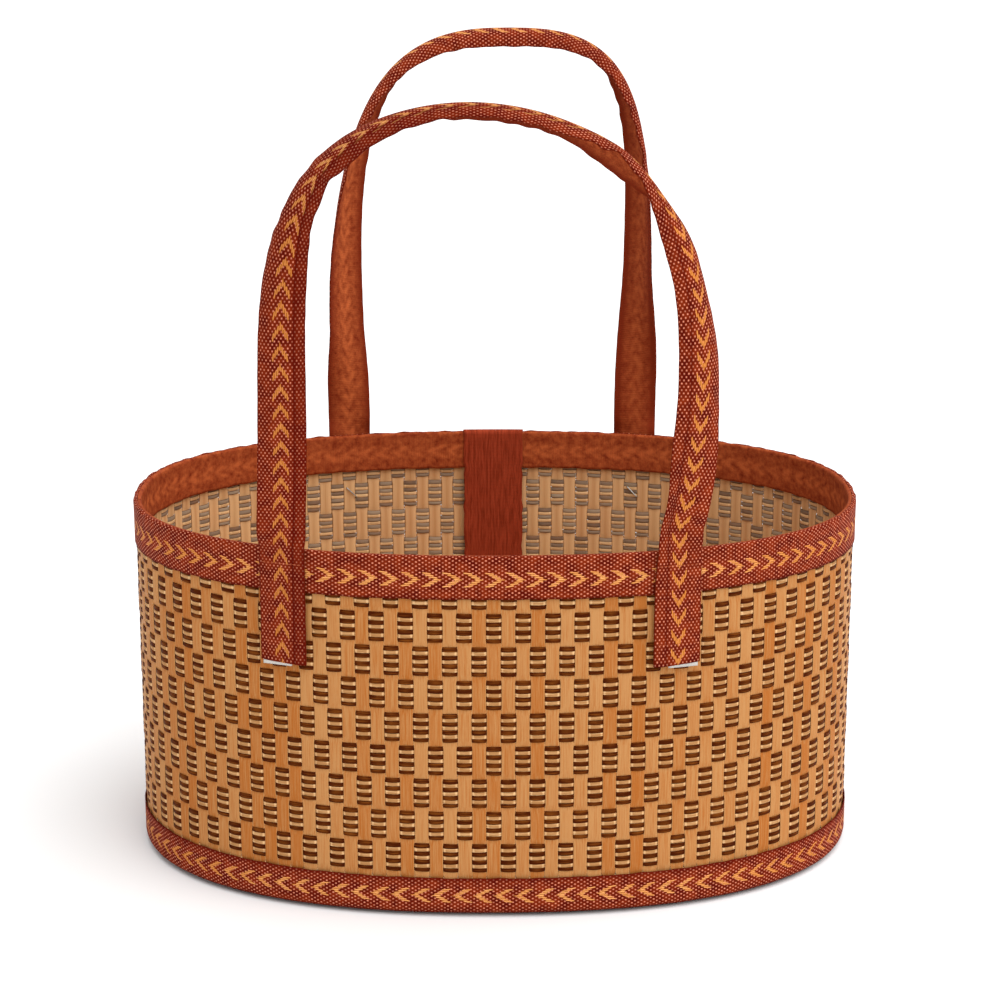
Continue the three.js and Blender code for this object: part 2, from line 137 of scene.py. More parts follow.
# Handles as on the solids: the arch is a superellipse over two legs, which leans sideways at the top and
# bulges at its shoulders, where a higher bulge power makes the bulges shorter and a sag moves them down;
# each turn has two shares of the arch and the degrees turned between them. The line of the chevrons leaves
# the strap's middle by each drift between two shares of the strap, each gather packs more of the pattern in
# between two, and a snug crown draws the pattern's rows together. Each tuck draws in the strap's inner
# edge, with a share, a reach and a depth.
HANDLES = (
    {
        "name": "front",
        "side": -1,
        "tabs": ("front_left", "front_right"),
        "spacing": 201.4 * MM,
        "shift": -8.7 * MM,
        "rise": 213.7 * MM,
        "leg_power": 5.6,
        "top_power": 1.95,
        "lean": -4.8 * MM,
        "bulges": (-1.8 * MM, 10.4 * MM),
        "bulge_power": 1,
        "bulge_sag": 0.3,
        "turns": (
            (0.15, 0.51, 101), (0.57, 0.63, 20), (0.63, 0.747, -70), (0.747, 0.86, -20.5), (0.86, 1, -30.5)
        ),
        "drifts": ((0.22, 0.46, 5.2 * MM), (0.6, 0.7, -5.2 * MM)),
        "gathers": (
            (0, 0.257, 20.5 * MM), (0.289, 0.455, -4.5 * MM), (0.5, 0.66, 2.5 * MM), (0.8, 1, 8 * MM)
        ),
        "snug": 0.5,
        "tucks": ((0.3695, 0.009, 2.3 * MM), (0.335, 0.03, 1.8 * MM), (0.885, 0.032, 3.6 * MM)),
    },
    {
        "name": "back",
        "side": 1,
        "tabs": ("back_right", "back_left"),
        "spacing": 172.4 * MM,
        "shift": -0.7 * MM,
        "rise": 229.5 * MM,
        "leg_power": 6,
        "top_power": 2.75,
        "lean": -10.4 * MM,
        "bulges": (2.5 * MM, 3.6 * MM),
        "bulge_power": 2,
        "bulge_sag": 0,
        "turns": ((0, 0.17, 50), (0.17, 0.5, 54), (0.5, 0.9, -66), (0.9, 1, -38)),
        "drifts": (),
        "gathers": (),
        "snug": 0,
        "tucks": (),
    },
)
STRAP_CURL = 70


def linear(code):
    """An sRGB hex colour as linear red, green, blue and alpha."""
    parts = np.array([int(code[i:i + 2], 16) / 255 for i in (1, 3, 5)])
    bright = ((parts + 0.055) / 1.055) ** 2.4
    return (*np.where(parts <= 0.04045, parts / 12.92, bright), 1.0)


def length_property(name, description, default):
    return FloatProperty(name=name, description=description, default=default, unit="LENGTH", precision=5)


def place_property(name, description, default):
    return FloatVectorProperty(
        name=name, description=description, default=default, subtype="TRANSLATION", unit="LENGTH"
    )


def colour_property(name, description, code):
    return FloatVectorProperty(
        name=name, description=description, default=linear(code), size=4, subtype="COLOR", min=0, max=1
    )


class BasketWeave(bpy.types.PropertyGroup):
    """Sizes and colours of the woven bamboo."""

    columns: IntProperty(name="Slats", description="Slats round the wall, an even count", default=144)
    shift: FloatProperty(name="Shift", description="Slats' shift from the seam, in slats", default=-0.235)
    slat_width: length_property("Slat width", "Width of an upright slat where slats meet", 7.75 * MM)
    slat_thickness: length_property("Slat thickness", "Thickness of a slat", 0.5 * MM)
    slat_wave: length_property("Slat wave", "How far a slat moves in and out", 0.32 * MM)
    splint_wave: length_property("Splint wave", "How far a splint moves in and out", 0.78 * MM)
    splint_thickness: length_property("Splint thickness", "Thickness of a splint", 0.42 * MM)
    dark_height: length_property("Dark splint", "Height of the tallest dark splint of a row", 2.68 * MM)
    pale_height: length_property("Pale splint", "Height of a pale splint", 2.05 * MM)
    row_pitch: length_property("Row pitch", "Height of a row of seven splints", 18.0 * MM)
    row_middle: length_property("Row middle", "Height of the middle of the top whole row", 157.5 * MM)
    splint_pitch: length_property("Splint pitch", "Spacing of the dark splints in a row", 4.45 * MM)
    slat_light: colour_property("Light slat", "Lightest slats", "#b98451")
    slat_deep: colour_property("Deep slat", "Deepest slats", "#a8622a")
    slat_pith: colour_property("Slat inside", "Pith side of the slats", "#e8be8c")
    dark: colour_property("Dark splint", "Stained splints", "#431602")
    # The dark splints' painted sheen, over the middle of each slat they cross
    dark_sheen: colour_property("Worn splint", "Where the stain of a splint has worn", "#7c4212")
    dark_pith: colour_property("Dark splint inside", "Pith side of the stained splints", "#b8a48a")
    # The pale colour is a painted highlight where the splints bend; the deep one is their own colour
    pale: colour_property("Pale splint", "Plain splints where they bend", "#dfb482")
    pale_deep: colour_property("Deep pale splint", "Plain splints between their bends", "#a8784a")


class BasketRibbon(bpy.types.PropertyGroup):
    """Sizes and colours of the ribbon, the cloth and what fastens them."""

    thickness: length_property("Thickness", "Thickness of the ribbon", 0.5 * MM)
    width: length_property("Strap width", "Width of the handles' ribbon", 25 * MM)
    core_width: length_property("Core width", "Width of the plastic strap in a handle", 16 * MM)
    seam_width: length_property("Seam strip width", "Width of the cloth over the seam", 36 * MM)
    chevron_pitch: length_property("Chevron pitch", "Spacing of the chevrons", 10.8 * MM)
    strap_pitch: length_property("Strap pitch", "Spacing of the chevrons on the drawn straps", 10.95 * MM)
    strap_start: length_property("Strap start", "From a strap's end to its first chevron's tip", 3.5 * MM)
    chevron_step: length_property("Chevron step", "How far each float thread is behind the last", 1.85 * MM)
    float_length: length_property("Float length", "Length of a chevron's float threads", 4.9 * MM)
    float_pitch: length_property("Float pitch", "Spacing of the float threads", 1.1 * MM)
    dot_pitch: length_property("Dot pitch", "Spacing of the dots along the ribbon", 3.4 * MM)
    dot_row: length_property("Dot row", "Spacing of the rows of dots", 1.06 * MM)
    rim_line: length_property("Rim chevron line", "Height of the rim's chevrons", 184.1 * MM)
    base_line: length_property("Base chevron line", "Height of the base's chevrons", 10.65 * MM)
    ground: colour_property("Ground", "Ground of the ribbon", "#560b02")
    ground_light: colour_property("Light ground", "Lighter patches of the ground", "#7c260a")
    dot: colour_property("Dots", "Dots of the ribbon", "#f09778")
    chevron: colour_property("Chevrons", "Chevrons' float threads", "#fbb774")
    # The chevrons' painted shade, at their threads' edges and where their painted sheen is taken down
    chevron_shaded: colour_property("Deep chevrons", "Edges of the chevrons' threads", "#bd6c22")
    reverse: colour_property("Reverse", "Reverse of the ribbon", "#b75b30")
    reverse_deep: colour_property("Deep reverse", "Darker patches of the reverse", "#73250e")
    seam: colour_property("Seam cloth", "Cloth over the seam", "#9a3b22")
    seam_deep: colour_property("Deep seam cloth", "Darker streaks of that cloth", "#782812")
    core: colour_property("Strap core", "Plastic strap inside the handles", "#c9c5be")
    steel: colour_property("Steel", "Steel of the staples", "#b4b4b2")
    thread: colour_property("Thread", "Sewing thread", "#b5603c")


class BasketStage(bpy.types.PropertyGroup):
    """The camera, the light and the floor."""

    camera: place_property("Camera", "Where the camera stands", (-11.02 * MM, -1344.06 * MM, 551.0 * MM))
    target: place_property("Target", "What the camera looks at", (2.82 * MM, -0.03 * MM, 188.8 * MM))
    lens: FloatProperty(name="Lens", description="Focal length in mm", default=89.68, unit="CAMERA")
    sky: FloatProperty(name="Sky", description="Strength of the light from all round", default=0.82, min=0)
    key: FloatProperty(name="Key light", description="Strength of the main light", default=2.8, min=0)
    key_place: place_property("Key light's place", "Where the main light shines from", (0.85, -0.6, 1.7))
    key_angle: FloatProperty(
        name="Key light's width",
        description="How wide the main light is, as seen from the basket",
        default=np.radians(75),
        unit="ROTATION",
    )
    floor_reach: length_property("Floor reach", "From the floor's middle to its sides", 12)
    floor_drop: length_property("Floor drop", "How far the floor is below the basket's edge", 1.5 * MM)
    floor: colour_property("Floor", "The pale floor", "#eeeeee")


def smooth_step(value, start, end):
    """Rises from 0 at start to 1 at end, level at both."""
    share = np.clip((value - start) / (end - start), 0, 1)
    return share * share * (3 - 2 * share)


def eased(value, power):
    """A value from -1 to 1 with its size raised to a power, so that a wave gets a flat top."""
    return np.sign(value) * np.abs(value) ** power


def ripple(share, counts, seed):
    """An uneven wave of about unit height that closes on itself: the sum of a cosine for each whole count
    of waves in the line, with seeded phases."""
    counts = np.array(counts)
    phases = np.random.default_rng(seed).uniform(0, 1, len(counts))
    waves = np.cos(2 * np.pi * (np.multiply.outer(share, counts) + phases))
    return waves.sum(axis=-1) / np.sqrt(len(counts))


def unit(vectors):
    return vectors / np.linalg.norm(vectors, axis=-1, keepdims=True)


def run_along(points):
    """The distance along a line from its first point to each one."""
    return np.concatenate([[0], np.cumsum(np.linalg.norm(np.diff(points, axis=0), axis=1))])


def lifted(point, normal, out, up):
    """Points moved out along their normals and up, by values for the whole grid."""
    return point + normal * out[..., None] + UP * up[..., None]


def oval_at(turn):
    """The rim's outside and its normals at angles from the back's middle: x is minus the half length times
    the sine, and y the half depth times the cosine, each to the power 2 over the oval's power."""
    x = -HALF_LENGTH * eased(np.sin(turn), 2 / OVAL_POWER)
    y = HALF_DEPTH * eased(np.cos(turn), 2 / OVAL_POWER)
    slope_x = eased(x / HALF_LENGTH, OVAL_POWER - 1) / HALF_LENGTH
    slope_y = eased(y / HALF_DEPTH, OVAL_POWER - 1) / HALF_DEPTH
    level = np.zeros_like(x)
    return np.stack([x, y, level], axis=-1), unit(np.stack([slope_x, slope_y, level], axis=-1))


class OvalLine:
    """The oval moved out by an offset along its normals, measured by shares of its length."""

    steps = 8192

    def __init__(self, offset=0.0):
        self.turns = np.linspace(0, 2 * np.pi, self.steps + 1)
        points, normals = oval_at(self.turns)
        self.arcs = run_along(points + offset * normals)
        self.length = self.arcs[-1]

    def at(self, share):
        """Points of the rim's outside, and normals, that lie in from or out from these shares."""
        return oval_at(np.interp(np.mod(share, 1) * self.length, self.arcs, self.turns))


def grid_piece(name, points, material, ring=False, tube=True, uv=None, tone=None, marks=None):
    """A mesh of one or more like grids. Points are numbered by copy, row and column: rows run along the
    piece and close on themselves in a ring, and columns run round its section and close in a tube. The
    open ends of a tube are capped with rungs between its two sides. uv gives the place on the cloth of each
    row, and of each column or of the whole grid, tone one value for each copy, and marks, by name, values
    for each column or for more of the grid."""
    copies, rows, columns = points.shape[:3]
    row, column = np.meshgrid(
        np.arange(rows if ring else rows - 1), np.arange(columns if tube else columns - 1), indexing="ij"
    )
    corners = [(row + down, column + over) for down, over in ((0, 0), (1, 0), (1, 1), (0, 1))]
    if tube and not ring:
        rung = np.arange(columns // 2 - 1)
        rungs = (rung, rung + 1, columns - 2 - rung, columns - 1 - rung)
        first = [(np.zeros_like(rung), place) for place in rungs]
        last = [(np.full_like(rung, rows - 1), place) for place in reversed(rungs)]
        corners = [
            tuple(np.concatenate([part.ravel() for part in parts]) for parts in zip(*group))
            for group in zip(corners, first, last)
        ]
    quads = np.stack([(r % rows) * columns + c % columns for r, c in corners], axis=-1).reshape(-1, 4)

    # A tube whose volume comes out below zero is inside out, so its faces are turned round
    flat = points[0].reshape(-1, 3)
    a, b, c, d = (flat[quads[:, corner]] for corner in range(4))
    inside_out = tube and np.sum(a * (np.cross(b, c) + np.cross(c, d))) < 0
    order = [3, 2, 1, 0] if inside_out else [0, 1, 2, 3]
    quads = quads[:, order]
    faces = (quads + np.arange(copies)[:, None, None] * rows * columns).reshape(-1, 4)
    mesh = bpy.data.meshes.new(name)
    mesh.vertices.add(copies * rows * columns)
    mesh.vertices.foreach_set("co", points.ravel().astype(np.float32))
    mesh.loops.add(faces.size)
    mesh.loops.foreach_set("vertex_index", faces.ravel().astype(np.int32))
    mesh.polygons.add(len(faces))
    mesh.polygons.foreach_set("loop_start", np.arange(0, faces.size, 4, dtype=np.int32))
    mesh.update(calc_edges=True)
    mesh.shade_smooth()
    if uv is not None:
        along, over = (np.asarray(part, float) / MM for part in uv)
        over = np.broadcast_to(over, (len(along), over.shape[-1]))
        places = np.stack(
            [np.stack([along[r], over[r, c]], axis=-1) for r, c in (corners[k] for k in order)], axis=-2
        ).reshape(-1, 2)
        layer = mesh.uv_layers.new(name="cloth")
        layer.uv.foreach_set("vector", np.tile(places, (copies, 1)).ravel().astype(np.float32))
    marks = dict(marks or {})
    if tone is not None:
        marks["tone"] = np.reshape(tone, (copies, 1, 1))
    for mark, values in marks.items():
        values = np.broadcast_to(np.asarray(values, np.float32), points.shape[:3])
        mesh.attributes.new(mark, "FLOAT", "POINT").data.foreach_set("value", values.ravel())
    mesh.materials.append(material)
    piece = bpy.data.objects.new(name, mesh)
    bpy.context.scene.collection.objects.link(piece)
    return piece


def settle(piece, slot, *nodes):
    """Lets a piece ride on the basket in place of some solids."""
    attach(piece, "basket")
    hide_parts(*nodes)


# Materials. Places on cloth are in millimetres and other places in metres, so a texture's scale is one over
# the size of what it draws there.

def add_node(tree, kind, inputs=(), out=0, **settings):
    """Adds a shader node with its settings, and links or sets its inputs by number or name. Gives one
    output, or the node where out is None."""
    node = tree.nodes.new(f"ShaderNode{kind}")
    for name, value in settings.items():
        setattr(node, name, value)
    for key, value in inputs.items() if isinstance(inputs, dict) else enumerate(inputs):
        if isinstance(value, bpy.types.NodeSocket):
            tree.links.new(value, node.inputs[key])
        else:
            node.inputs[key].default_value = value
    return node if out is None else node.outputs[out]


def make_material(finish, *looks, name=None):
    """The material of a finish, made once and named for it or by the given name. A finish is a function
    that adds its nodes and gives a height, how deep that relief is, and the shader's inputs."""
    name = name or finish.__name__
    material = bpy.data.materials.get(name)
    if material:
        return material
    material = bpy.data.materials.new(name)
    material.use_nodes = True
    material.node_tree.nodes.clear()
    add = partial(add_node, material.node_tree)
    height, relief, shader = finish(add, *looks)
    bump = add("Bump", {"Strength": 1.0, "Distance": relief, "Height": height})
    surface = add("BsdfPrincipled", {**shader, "Normal": bump})
    add("OutputMaterial", [surface], out=None)
    return material


def split_bamboo(add, light, deep, pith, grain, gloss):
    """Split bamboo, planed and woven: fine straight fibres with streaks, a satin sheen from its skin and a
    paler, duller pith side. The grain is the size of a streak along X, Y and Z, each strip has a tone of
    its own, and its colour shifts with painted light: painted shade at the dark splints' ends and a painted
    sheen over their middles, a painted highlight where the pale splints bend, and paler planed edges on the
    slats that also paint their highlight."""
    place = add("TexCoord", out=3)
    grained = add("Mapping", {"Vector": place, "Scale": [1 / size for size in grain]})
    streak = add("TexNoise", {"Vector": grained, "Scale": 1.0, "Detail": 3.0, "Roughness": 0.65})
    tone, skin, painted_light = (add("Attribute", out=2, attribute_name=mark) for mark in ("tone", "skin", "painted_light"))
    # The painted light mark shifts each strip's tone: painted shade, sheen and highlights
    toned = add("Math", [tone, painted_light], operation="ADD")
    spread = add("Math", [streak, 3.0, -1.5], operation="MULTIPLY_ADD")
    share = add("Math", [toned, spread], operation="ADD", use_clamp=True)
    outer = add("Mix", {0: share, 6: light, 7: deep}, out=2, data_type="RGBA")
    inner = add("Mix", {0: 0.7, 6: outer, 7: pith}, out=2, data_type="RGBA")
    colour = add("Mix", {0: skin, 6: inner, 7: outer}, out=2, data_type="RGBA")
    rough = add("MapRange", [streak, 0.3, 0.7, gloss - 0.06, gloss + 0.08])
    return streak, 0.06 * MM, {"Base Color": colour, "Roughness": rough, "Specular IOR Level": 0.02}


def jacquard_ribbon(add, look):
    """Polyester jacquard ribbon, woven: a dark red ground with lighter patches of about 6 mm and staggered
    rows of dots, and gold float threads that slope back from a tip to form a chevron. The floats stand
    proud; each has a painted highlight along its crest and painted shade at its edges, and that painted
    sheen is weaker where a mark takes it down."""
    cloth = add("UVMap", uv_map="cloth")
    patches = add("TexNoise", {"Vector": cloth, "Scale": 1 / 6.25, "Detail": 3.0}, out=None)
    shake = [patches.outputs["Color"], (0.7, 0.5, 0), cloth]
    shaken = add("VectorMath", shake, operation="MULTIPLY_ADD")
    split = add("SeparateXYZ", [shaken], out=None)
    along, over = split.outputs["X"], split.outputs["Y"]

    # Dots in rows, each row half a pitch on from the last
    row = add("Math", [over, look.dot_row / MM], operation="DIVIDE")
    row_number = add("Math", [row], operation="FLOOR")
    pitched = add("Math", [along, look.dot_pitch / MM], operation="DIVIDE")
    staggered = add("Math", [row_number, 0.5, pitched], operation="MULTIPLY_ADD")
    reach_along = add("Math", [staggered, 0.5], operation="PINGPONG")
    reach_over = add("Math", [row, 0.5], operation="PINGPONG")
    rise_along = add("MapRange", [reach_along, 0.31, 0.44, 0, 1])
    rise_over = add("MapRange", [reach_over, 0.02, 0.36, 0, 1])
    dot = add("Math", [rise_along, rise_over], operation="MULTIPLY")
    dot_number = add("Math", [staggered], operation="FLOOR")
    dot_place = add("CombineXYZ", [dot_number, row_number])
    dot_chance = add("TexWhiteNoise", {"Vector": dot_place}, noise_dimensions="2D")
    dot_glow = add("MapRange", [dot_chance, 0, 1, 0.5, 1.0])
    dot_light = add("Math", [dot, dot_glow], operation="MULTIPLY")

    # Chevrons: a float thread lies along the ribbon at each tip, and on either side three more, each a step
    # further back and slanted away from the middle. Back is the way behind the line of the tips, and
    # less than zero for a little way before it.
    pitch, float_pitch, float_length, step = (
        size / MM for size in (look.chevron_pitch, look.float_pitch, look.float_length, look.chevron_step)
    )
    slant, before, threads = 0.14, 2.4, 3.5
    upright = [1 / float_pitch, 0.5 + slant * float_length / 2 / float_pitch]
    aside = add("Math", [over], operation="ABSOLUTE")
    arm = add("Math", [aside, step / float_pitch, along], operation="MULTIPLY_ADD")
    arm_back = add("Math", [arm, -1.0], operation="MULTIPLY")
    behind = add("Math", [arm_back, pitch - before, -before], operation="WRAP")
    straight = add("Math", [behind, -slant, aside], operation="MULTIPLY_ADD")
    float_place = add("Math", [straight, *upright], operation="MULTIPLY_ADD")
    float_number = add("Math", [float_place], operation="FLOOR")
    float_round = add("Math", [float_place, 0.5], operation="PINGPONG")
    lead = add("Math", [float_number, step, along], operation="MULTIPLY_ADD")
    lead_cell = add("Math", [lead, 1 / pitch], operation="MULTIPLY")
    cell = add("Math", [lead_cell], operation="CEIL")
    side = add("Math", [over], operation="SIGN")
    sided = add("Math", [float_number, side], operation="MULTIPLY")
    thread = add("CombineXYZ", [cell, sided])
    chance = add("TexWhiteNoise", {"Vector": thread}, noise_dimensions="2D")
    lead_back = add("Math", [lead, -1.0], operation="MULTIPLY")
    back = add("Math", [lead_back, pitch - before, -before], operation="WRAP")
    uneven = add("Math", [chance, -0.9, back], operation="MULTIPLY_ADD")
    starts = add("MapRange", [uneven, -0.1, 0.5, 0, 1])
    stops = add("MapRange", [uneven, float_length, float_length - 0.9, 0, 1])
    in_row = add("Math", [float_number, threads], operation="LESS_THAN")
    apart = add("MapRange", [float_round, 0.0, 0.12, 0, 1])
    length_wise = add("Math", [starts, stops], operation="MULTIPLY")
    cross_wise = add("Math", [in_row, apart], operation="MULTIPLY")
    chevron = add("Math", [length_wise, cross_wise], operation="MULTIPLY")
    # Painted highlight along each float's crest and painted shade at its edges, less where the sheen is
    # taken down
    crest = add("MapRange", [float_round, 0.1, 0.45, 0, 1])
    glow = add("MapRange", [chance, 0, 1, 0.55, 1.0])
    # How much of the floats' painted sheen is taken down, away from the front and off the crown
    sheen_loss = add("Attribute", out=2, attribute_name="sheen_loss")
    sheen_left = add("Math", [1.0, sheen_loss], operation="SUBTRACT")
    lustre = add("Math", [glow, sheen_left], operation="MULTIPLY")
    shine = add("Math", [crest, lustre], operation="MULTIPLY")

    # The ground, the dots on it, the chevrons over both, and a darkening to the ground: painted shade, and
    # a plain hem on the base ribbon's top
    patch = add("MapRange", [patches.outputs["Fac"], 0.35, 0.65, 0, 1])
    ground = add("Mix", {0: patch, 6: look.ground, 7: look.ground_light}, out=2, data_type="RGBA")
    dotted = add("Mix", {0: dot_light, 6: ground, 7: look.dot}, out=2, data_type="RGBA")
    gold = add("Mix", {0: shine, 6: look.chevron_shaded, 7: look.chevron}, out=2, data_type="RGBA")
    woven = add("Mix", {0: chevron, 6: dotted, 7: gold}, out=2, data_type="RGBA")
    dim = add("Attribute", out=2, attribute_name="dim")
    colour = add("Mix", {0: dim, 6: woven, 7: look.ground}, out=2, data_type="RGBA")
    float_height = add("Math", [shine, 0.9, 0.7], operation="MULTIPLY_ADD")
    height = add("Mix", {0: chevron, 2: dot, 3: float_height}, data_type="FLOAT")
    rough = add("MapRange", [chevron, 0, 1, 0.62, 0.42])
    return height, 0.2 * MM, {"Base Color": colour, "Roughness": rough, "Specular IOR Level": 0.015}


def jacquard_ribbon_reverse(add, look):
    """The reverse of the ribbon: the ground's threads cross in a fine rib, mottled rust in patches of about
    4.5 mm, and the chevrons show through only as paler ghosts."""
    cloth = add("UVMap", uv_map="cloth")
    mottle = add("TexNoise", {"Vector": cloth, "Scale": 0.22, "Detail": 5.0, "Roughness": 0.7})
    split = add("SeparateXYZ", [cloth], out=None)
    along, over = split.outputs["X"], split.outputs["Y"]
    slope = look.chevron_step / look.float_pitch
    half_pitch = look.chevron_pitch / MM / 2
    half, blur = 3.5 * look.float_pitch / MM, 1.2
    aside = add("Math", [over], operation="ABSOLUTE")
    lead = add("Math", [aside, slope, along], operation="MULTIPLY_ADD")
    reach = add("Math", [lead, half_pitch], operation="PINGPONG")
    near = add("MapRange", [reach, 0, half_pitch, 0, 1])
    in_row = add("MapRange", [aside, half + blur, half - blur, 0, 1])
    ghost = add("Math", [near, in_row], operation="MULTIPLY")
    rib = add("Math", [along, 0.55], operation="PINGPONG")
    patch = add("MapRange", [mottle, 0.33, 0.67, 0, 0.8])
    lit = add("Math", [ghost, 0.5, patch], operation="MULTIPLY_ADD", use_clamp=True)
    mottled = add("Mix", {0: lit, 6: look.reverse_deep, 7: look.reverse}, out=2, data_type="RGBA")
    # Painted shade on the handles' linings
    dim = add("Attribute", out=2, attribute_name="dim")
    colour = add("Mix", {0: dim, 6: mottled, 7: look.reverse_deep}, out=2, data_type="RGBA")
    return rib, 0.15 * MM, {"Base Color": colour, "Roughness": 0.75, "Specular IOR Level": 0.05}


def plain_cotton_cloth(add, look):
    """Plain cotton cloth, woven close and dyed dark red: fine upright threads with darker slubs, about 1 mm
    wide and 14 mm long."""
    cloth = add("UVMap", uv_map="cloth")
    drawn = add("Mapping", {"Vector": cloth, "Scale": (0.9, 0.07, 1)})
    slub = add("TexNoise", {"Vector": drawn, "Scale": 1.0, "Detail": 4.0, "Roughness": 0.6})
    split = add("SeparateXYZ", [cloth], out=None)
    warp, weft = (add("Math", [split.outputs[way], 0.45], operation="PINGPONG") for way in ("X", "Y"))
    thread = add("Math", [warp, weft], operation="ADD")
    share = add("MapRange", [slub, 0.35, 0.62, 0, 1])
    colour = add("Mix", {0: share, 6: look.seam_deep, 7: look.seam}, out=2, data_type="RGBA")
    return thread, 0.12 * MM, {"Base Color": colour, "Roughness": 0.8, "Specular IOR Level": 0.05}


def woven_plastic_strap(add, look):
    """White polypropylene strap, woven of flat tapes about 1.7 mm wide and pressed: a fine check and a soft
    gloss with small scuffs."""
    cloth = add("UVMap", uv_map="cloth")
    check = add("TexChecker", {"Vector": cloth, "Scale": 0.6}, out=1)
    scuff = add("TexNoise", {"Vector": cloth, "Scale": 1 / 1.25, "Detail": 3.0})
    rough = add("MapRange", [scuff, 0.3, 0.7, 0.38, 0.55])
    return check, 0.08 * MM, {"Base Color": look.core, "Roughness": rough, "IOR": 1.49}


def drawn_steel_wire(add, look):
    """Bright drawn steel wire: a metal with fine scratches and small changes of gloss."""
    place = add("TexCoord", out=3)
    scuff = add("TexNoise", {"Vector": place, "Scale": 1 / (0.8 * MM), "Detail": 3.0})
    rough = add("MapRange", [scuff, 0.3, 0.7, 0.25, 0.45])
    return scuff, 0.02 * MM, {"Base Color": look.steel, "Metallic": 1.0, "Roughness": rough}


def spun_thread(add, look):
    """Spun polyester thread: two plies that twist, drawn coarser than they are so that they show."""
    place = add("TexCoord", out=3)
    ply = add("TexNoise", {"Vector": place, "Scale": 1 / (0.5 * MM), "Detail": 2.0})
    colour = add("Mix", {0: ply, 6: look.ground_light, 7: look.thread}, out=2, data_type="RGBA")
    return ply, 0.1 * MM, {"Base Color": colour, "Roughness": 0.7, "Specular IOR Level": 0.15}


def matt_painted_floor(add, stage):
    """Painted board, matt: so even that only a faint cloudiness shows."""
    place = add("TexCoord", out=3)
    cloud = add("TexNoise", {"Vector": place, "Scale": 3.0, "Detail": 2.0})
    rough = add("MapRange", [cloud, 0.3, 0.7, 0.85, 0.95])
    return cloud, 0.01 * MM, {"Base Color": stage.floor, "Roughness": rough, "Specular IOR Level": 0.1}


# Woven bamboo

def strip_bamboo(weave, sort, name, grain, gloss):
    """Split bamboo in the colours of one sort of strip."""
    colours = {
        "slat": (weave.slat_light, weave.slat_deep, weave.slat_pith),
        "dark": (weave.dark, weave.dark_sheen, weave.dark_pith),
        "pale": (weave.pale, weave.pale_deep, weave.slat_pith),
    }
    return make_material(split_bamboo, *colours[sort], grain, gloss, name=name)


def slat_section(weave):
    """A slat's section, a crown with eased edges over a flat back: places over its width, heights, and how
    its colour shifts: its planed edges are paler than its face, and that paler colour also paints the
    highlight along them."""
    wide = weave.slat_width / 2 * np.array([-1, -0.95, -0.84, 0, 0.84, 0.95, 1, 0.84, 0, -0.84])
    high = weave.slat_thickness / 2 * np.array([0.1, 0.8, 1, 1.1, 1, 0.8, 0.1, -0.9, -1, -0.9])
    return wide, high, -0.5 * (np.abs(wide) > 0.9 * wide.max())


def splint_section(heights, thickness):
    """Splints' sections are flat lenses of six points: places up each one, and heights."""
    up = np.multiply.outer(heights / 2, [-1, -0.7, 0.7, 1, 0.7, -0.7])
    out = thickness / 2 * np.array([0.0, 1, 1, 0, -1, -1])
    return up, out


def row_splints(weave, sort, rows, row_middles, low, high):
    """The splints of one sort in some rows that lie between two places: their middles, 1 for those that
    pass over the first slat and -1 for those that pass under it, and their heights. Four dark splints have
    a steady pitch in a row, the lowest the thinnest, with a pale one in each gap."""
    places, heights = {
        "dark": ([-1.5, -0.5, 0.5, 1.5], weave.dark_height * np.array([0.78, 1, 0.9, 1])),
        "pale": ([-1.025, 0, 1], np.full(3, weave.pale_height)),
    }[sort]
    middles = row_middles[:, None] + weave.splint_pitch * np.array(places)
    sides = np.where(rows % 2 == 0, 1, -1)[:, None]
    shown = (middles > low) & (middles < high)
    return [values[shown] for values in np.broadcast_arrays(middles, sides, heights)]


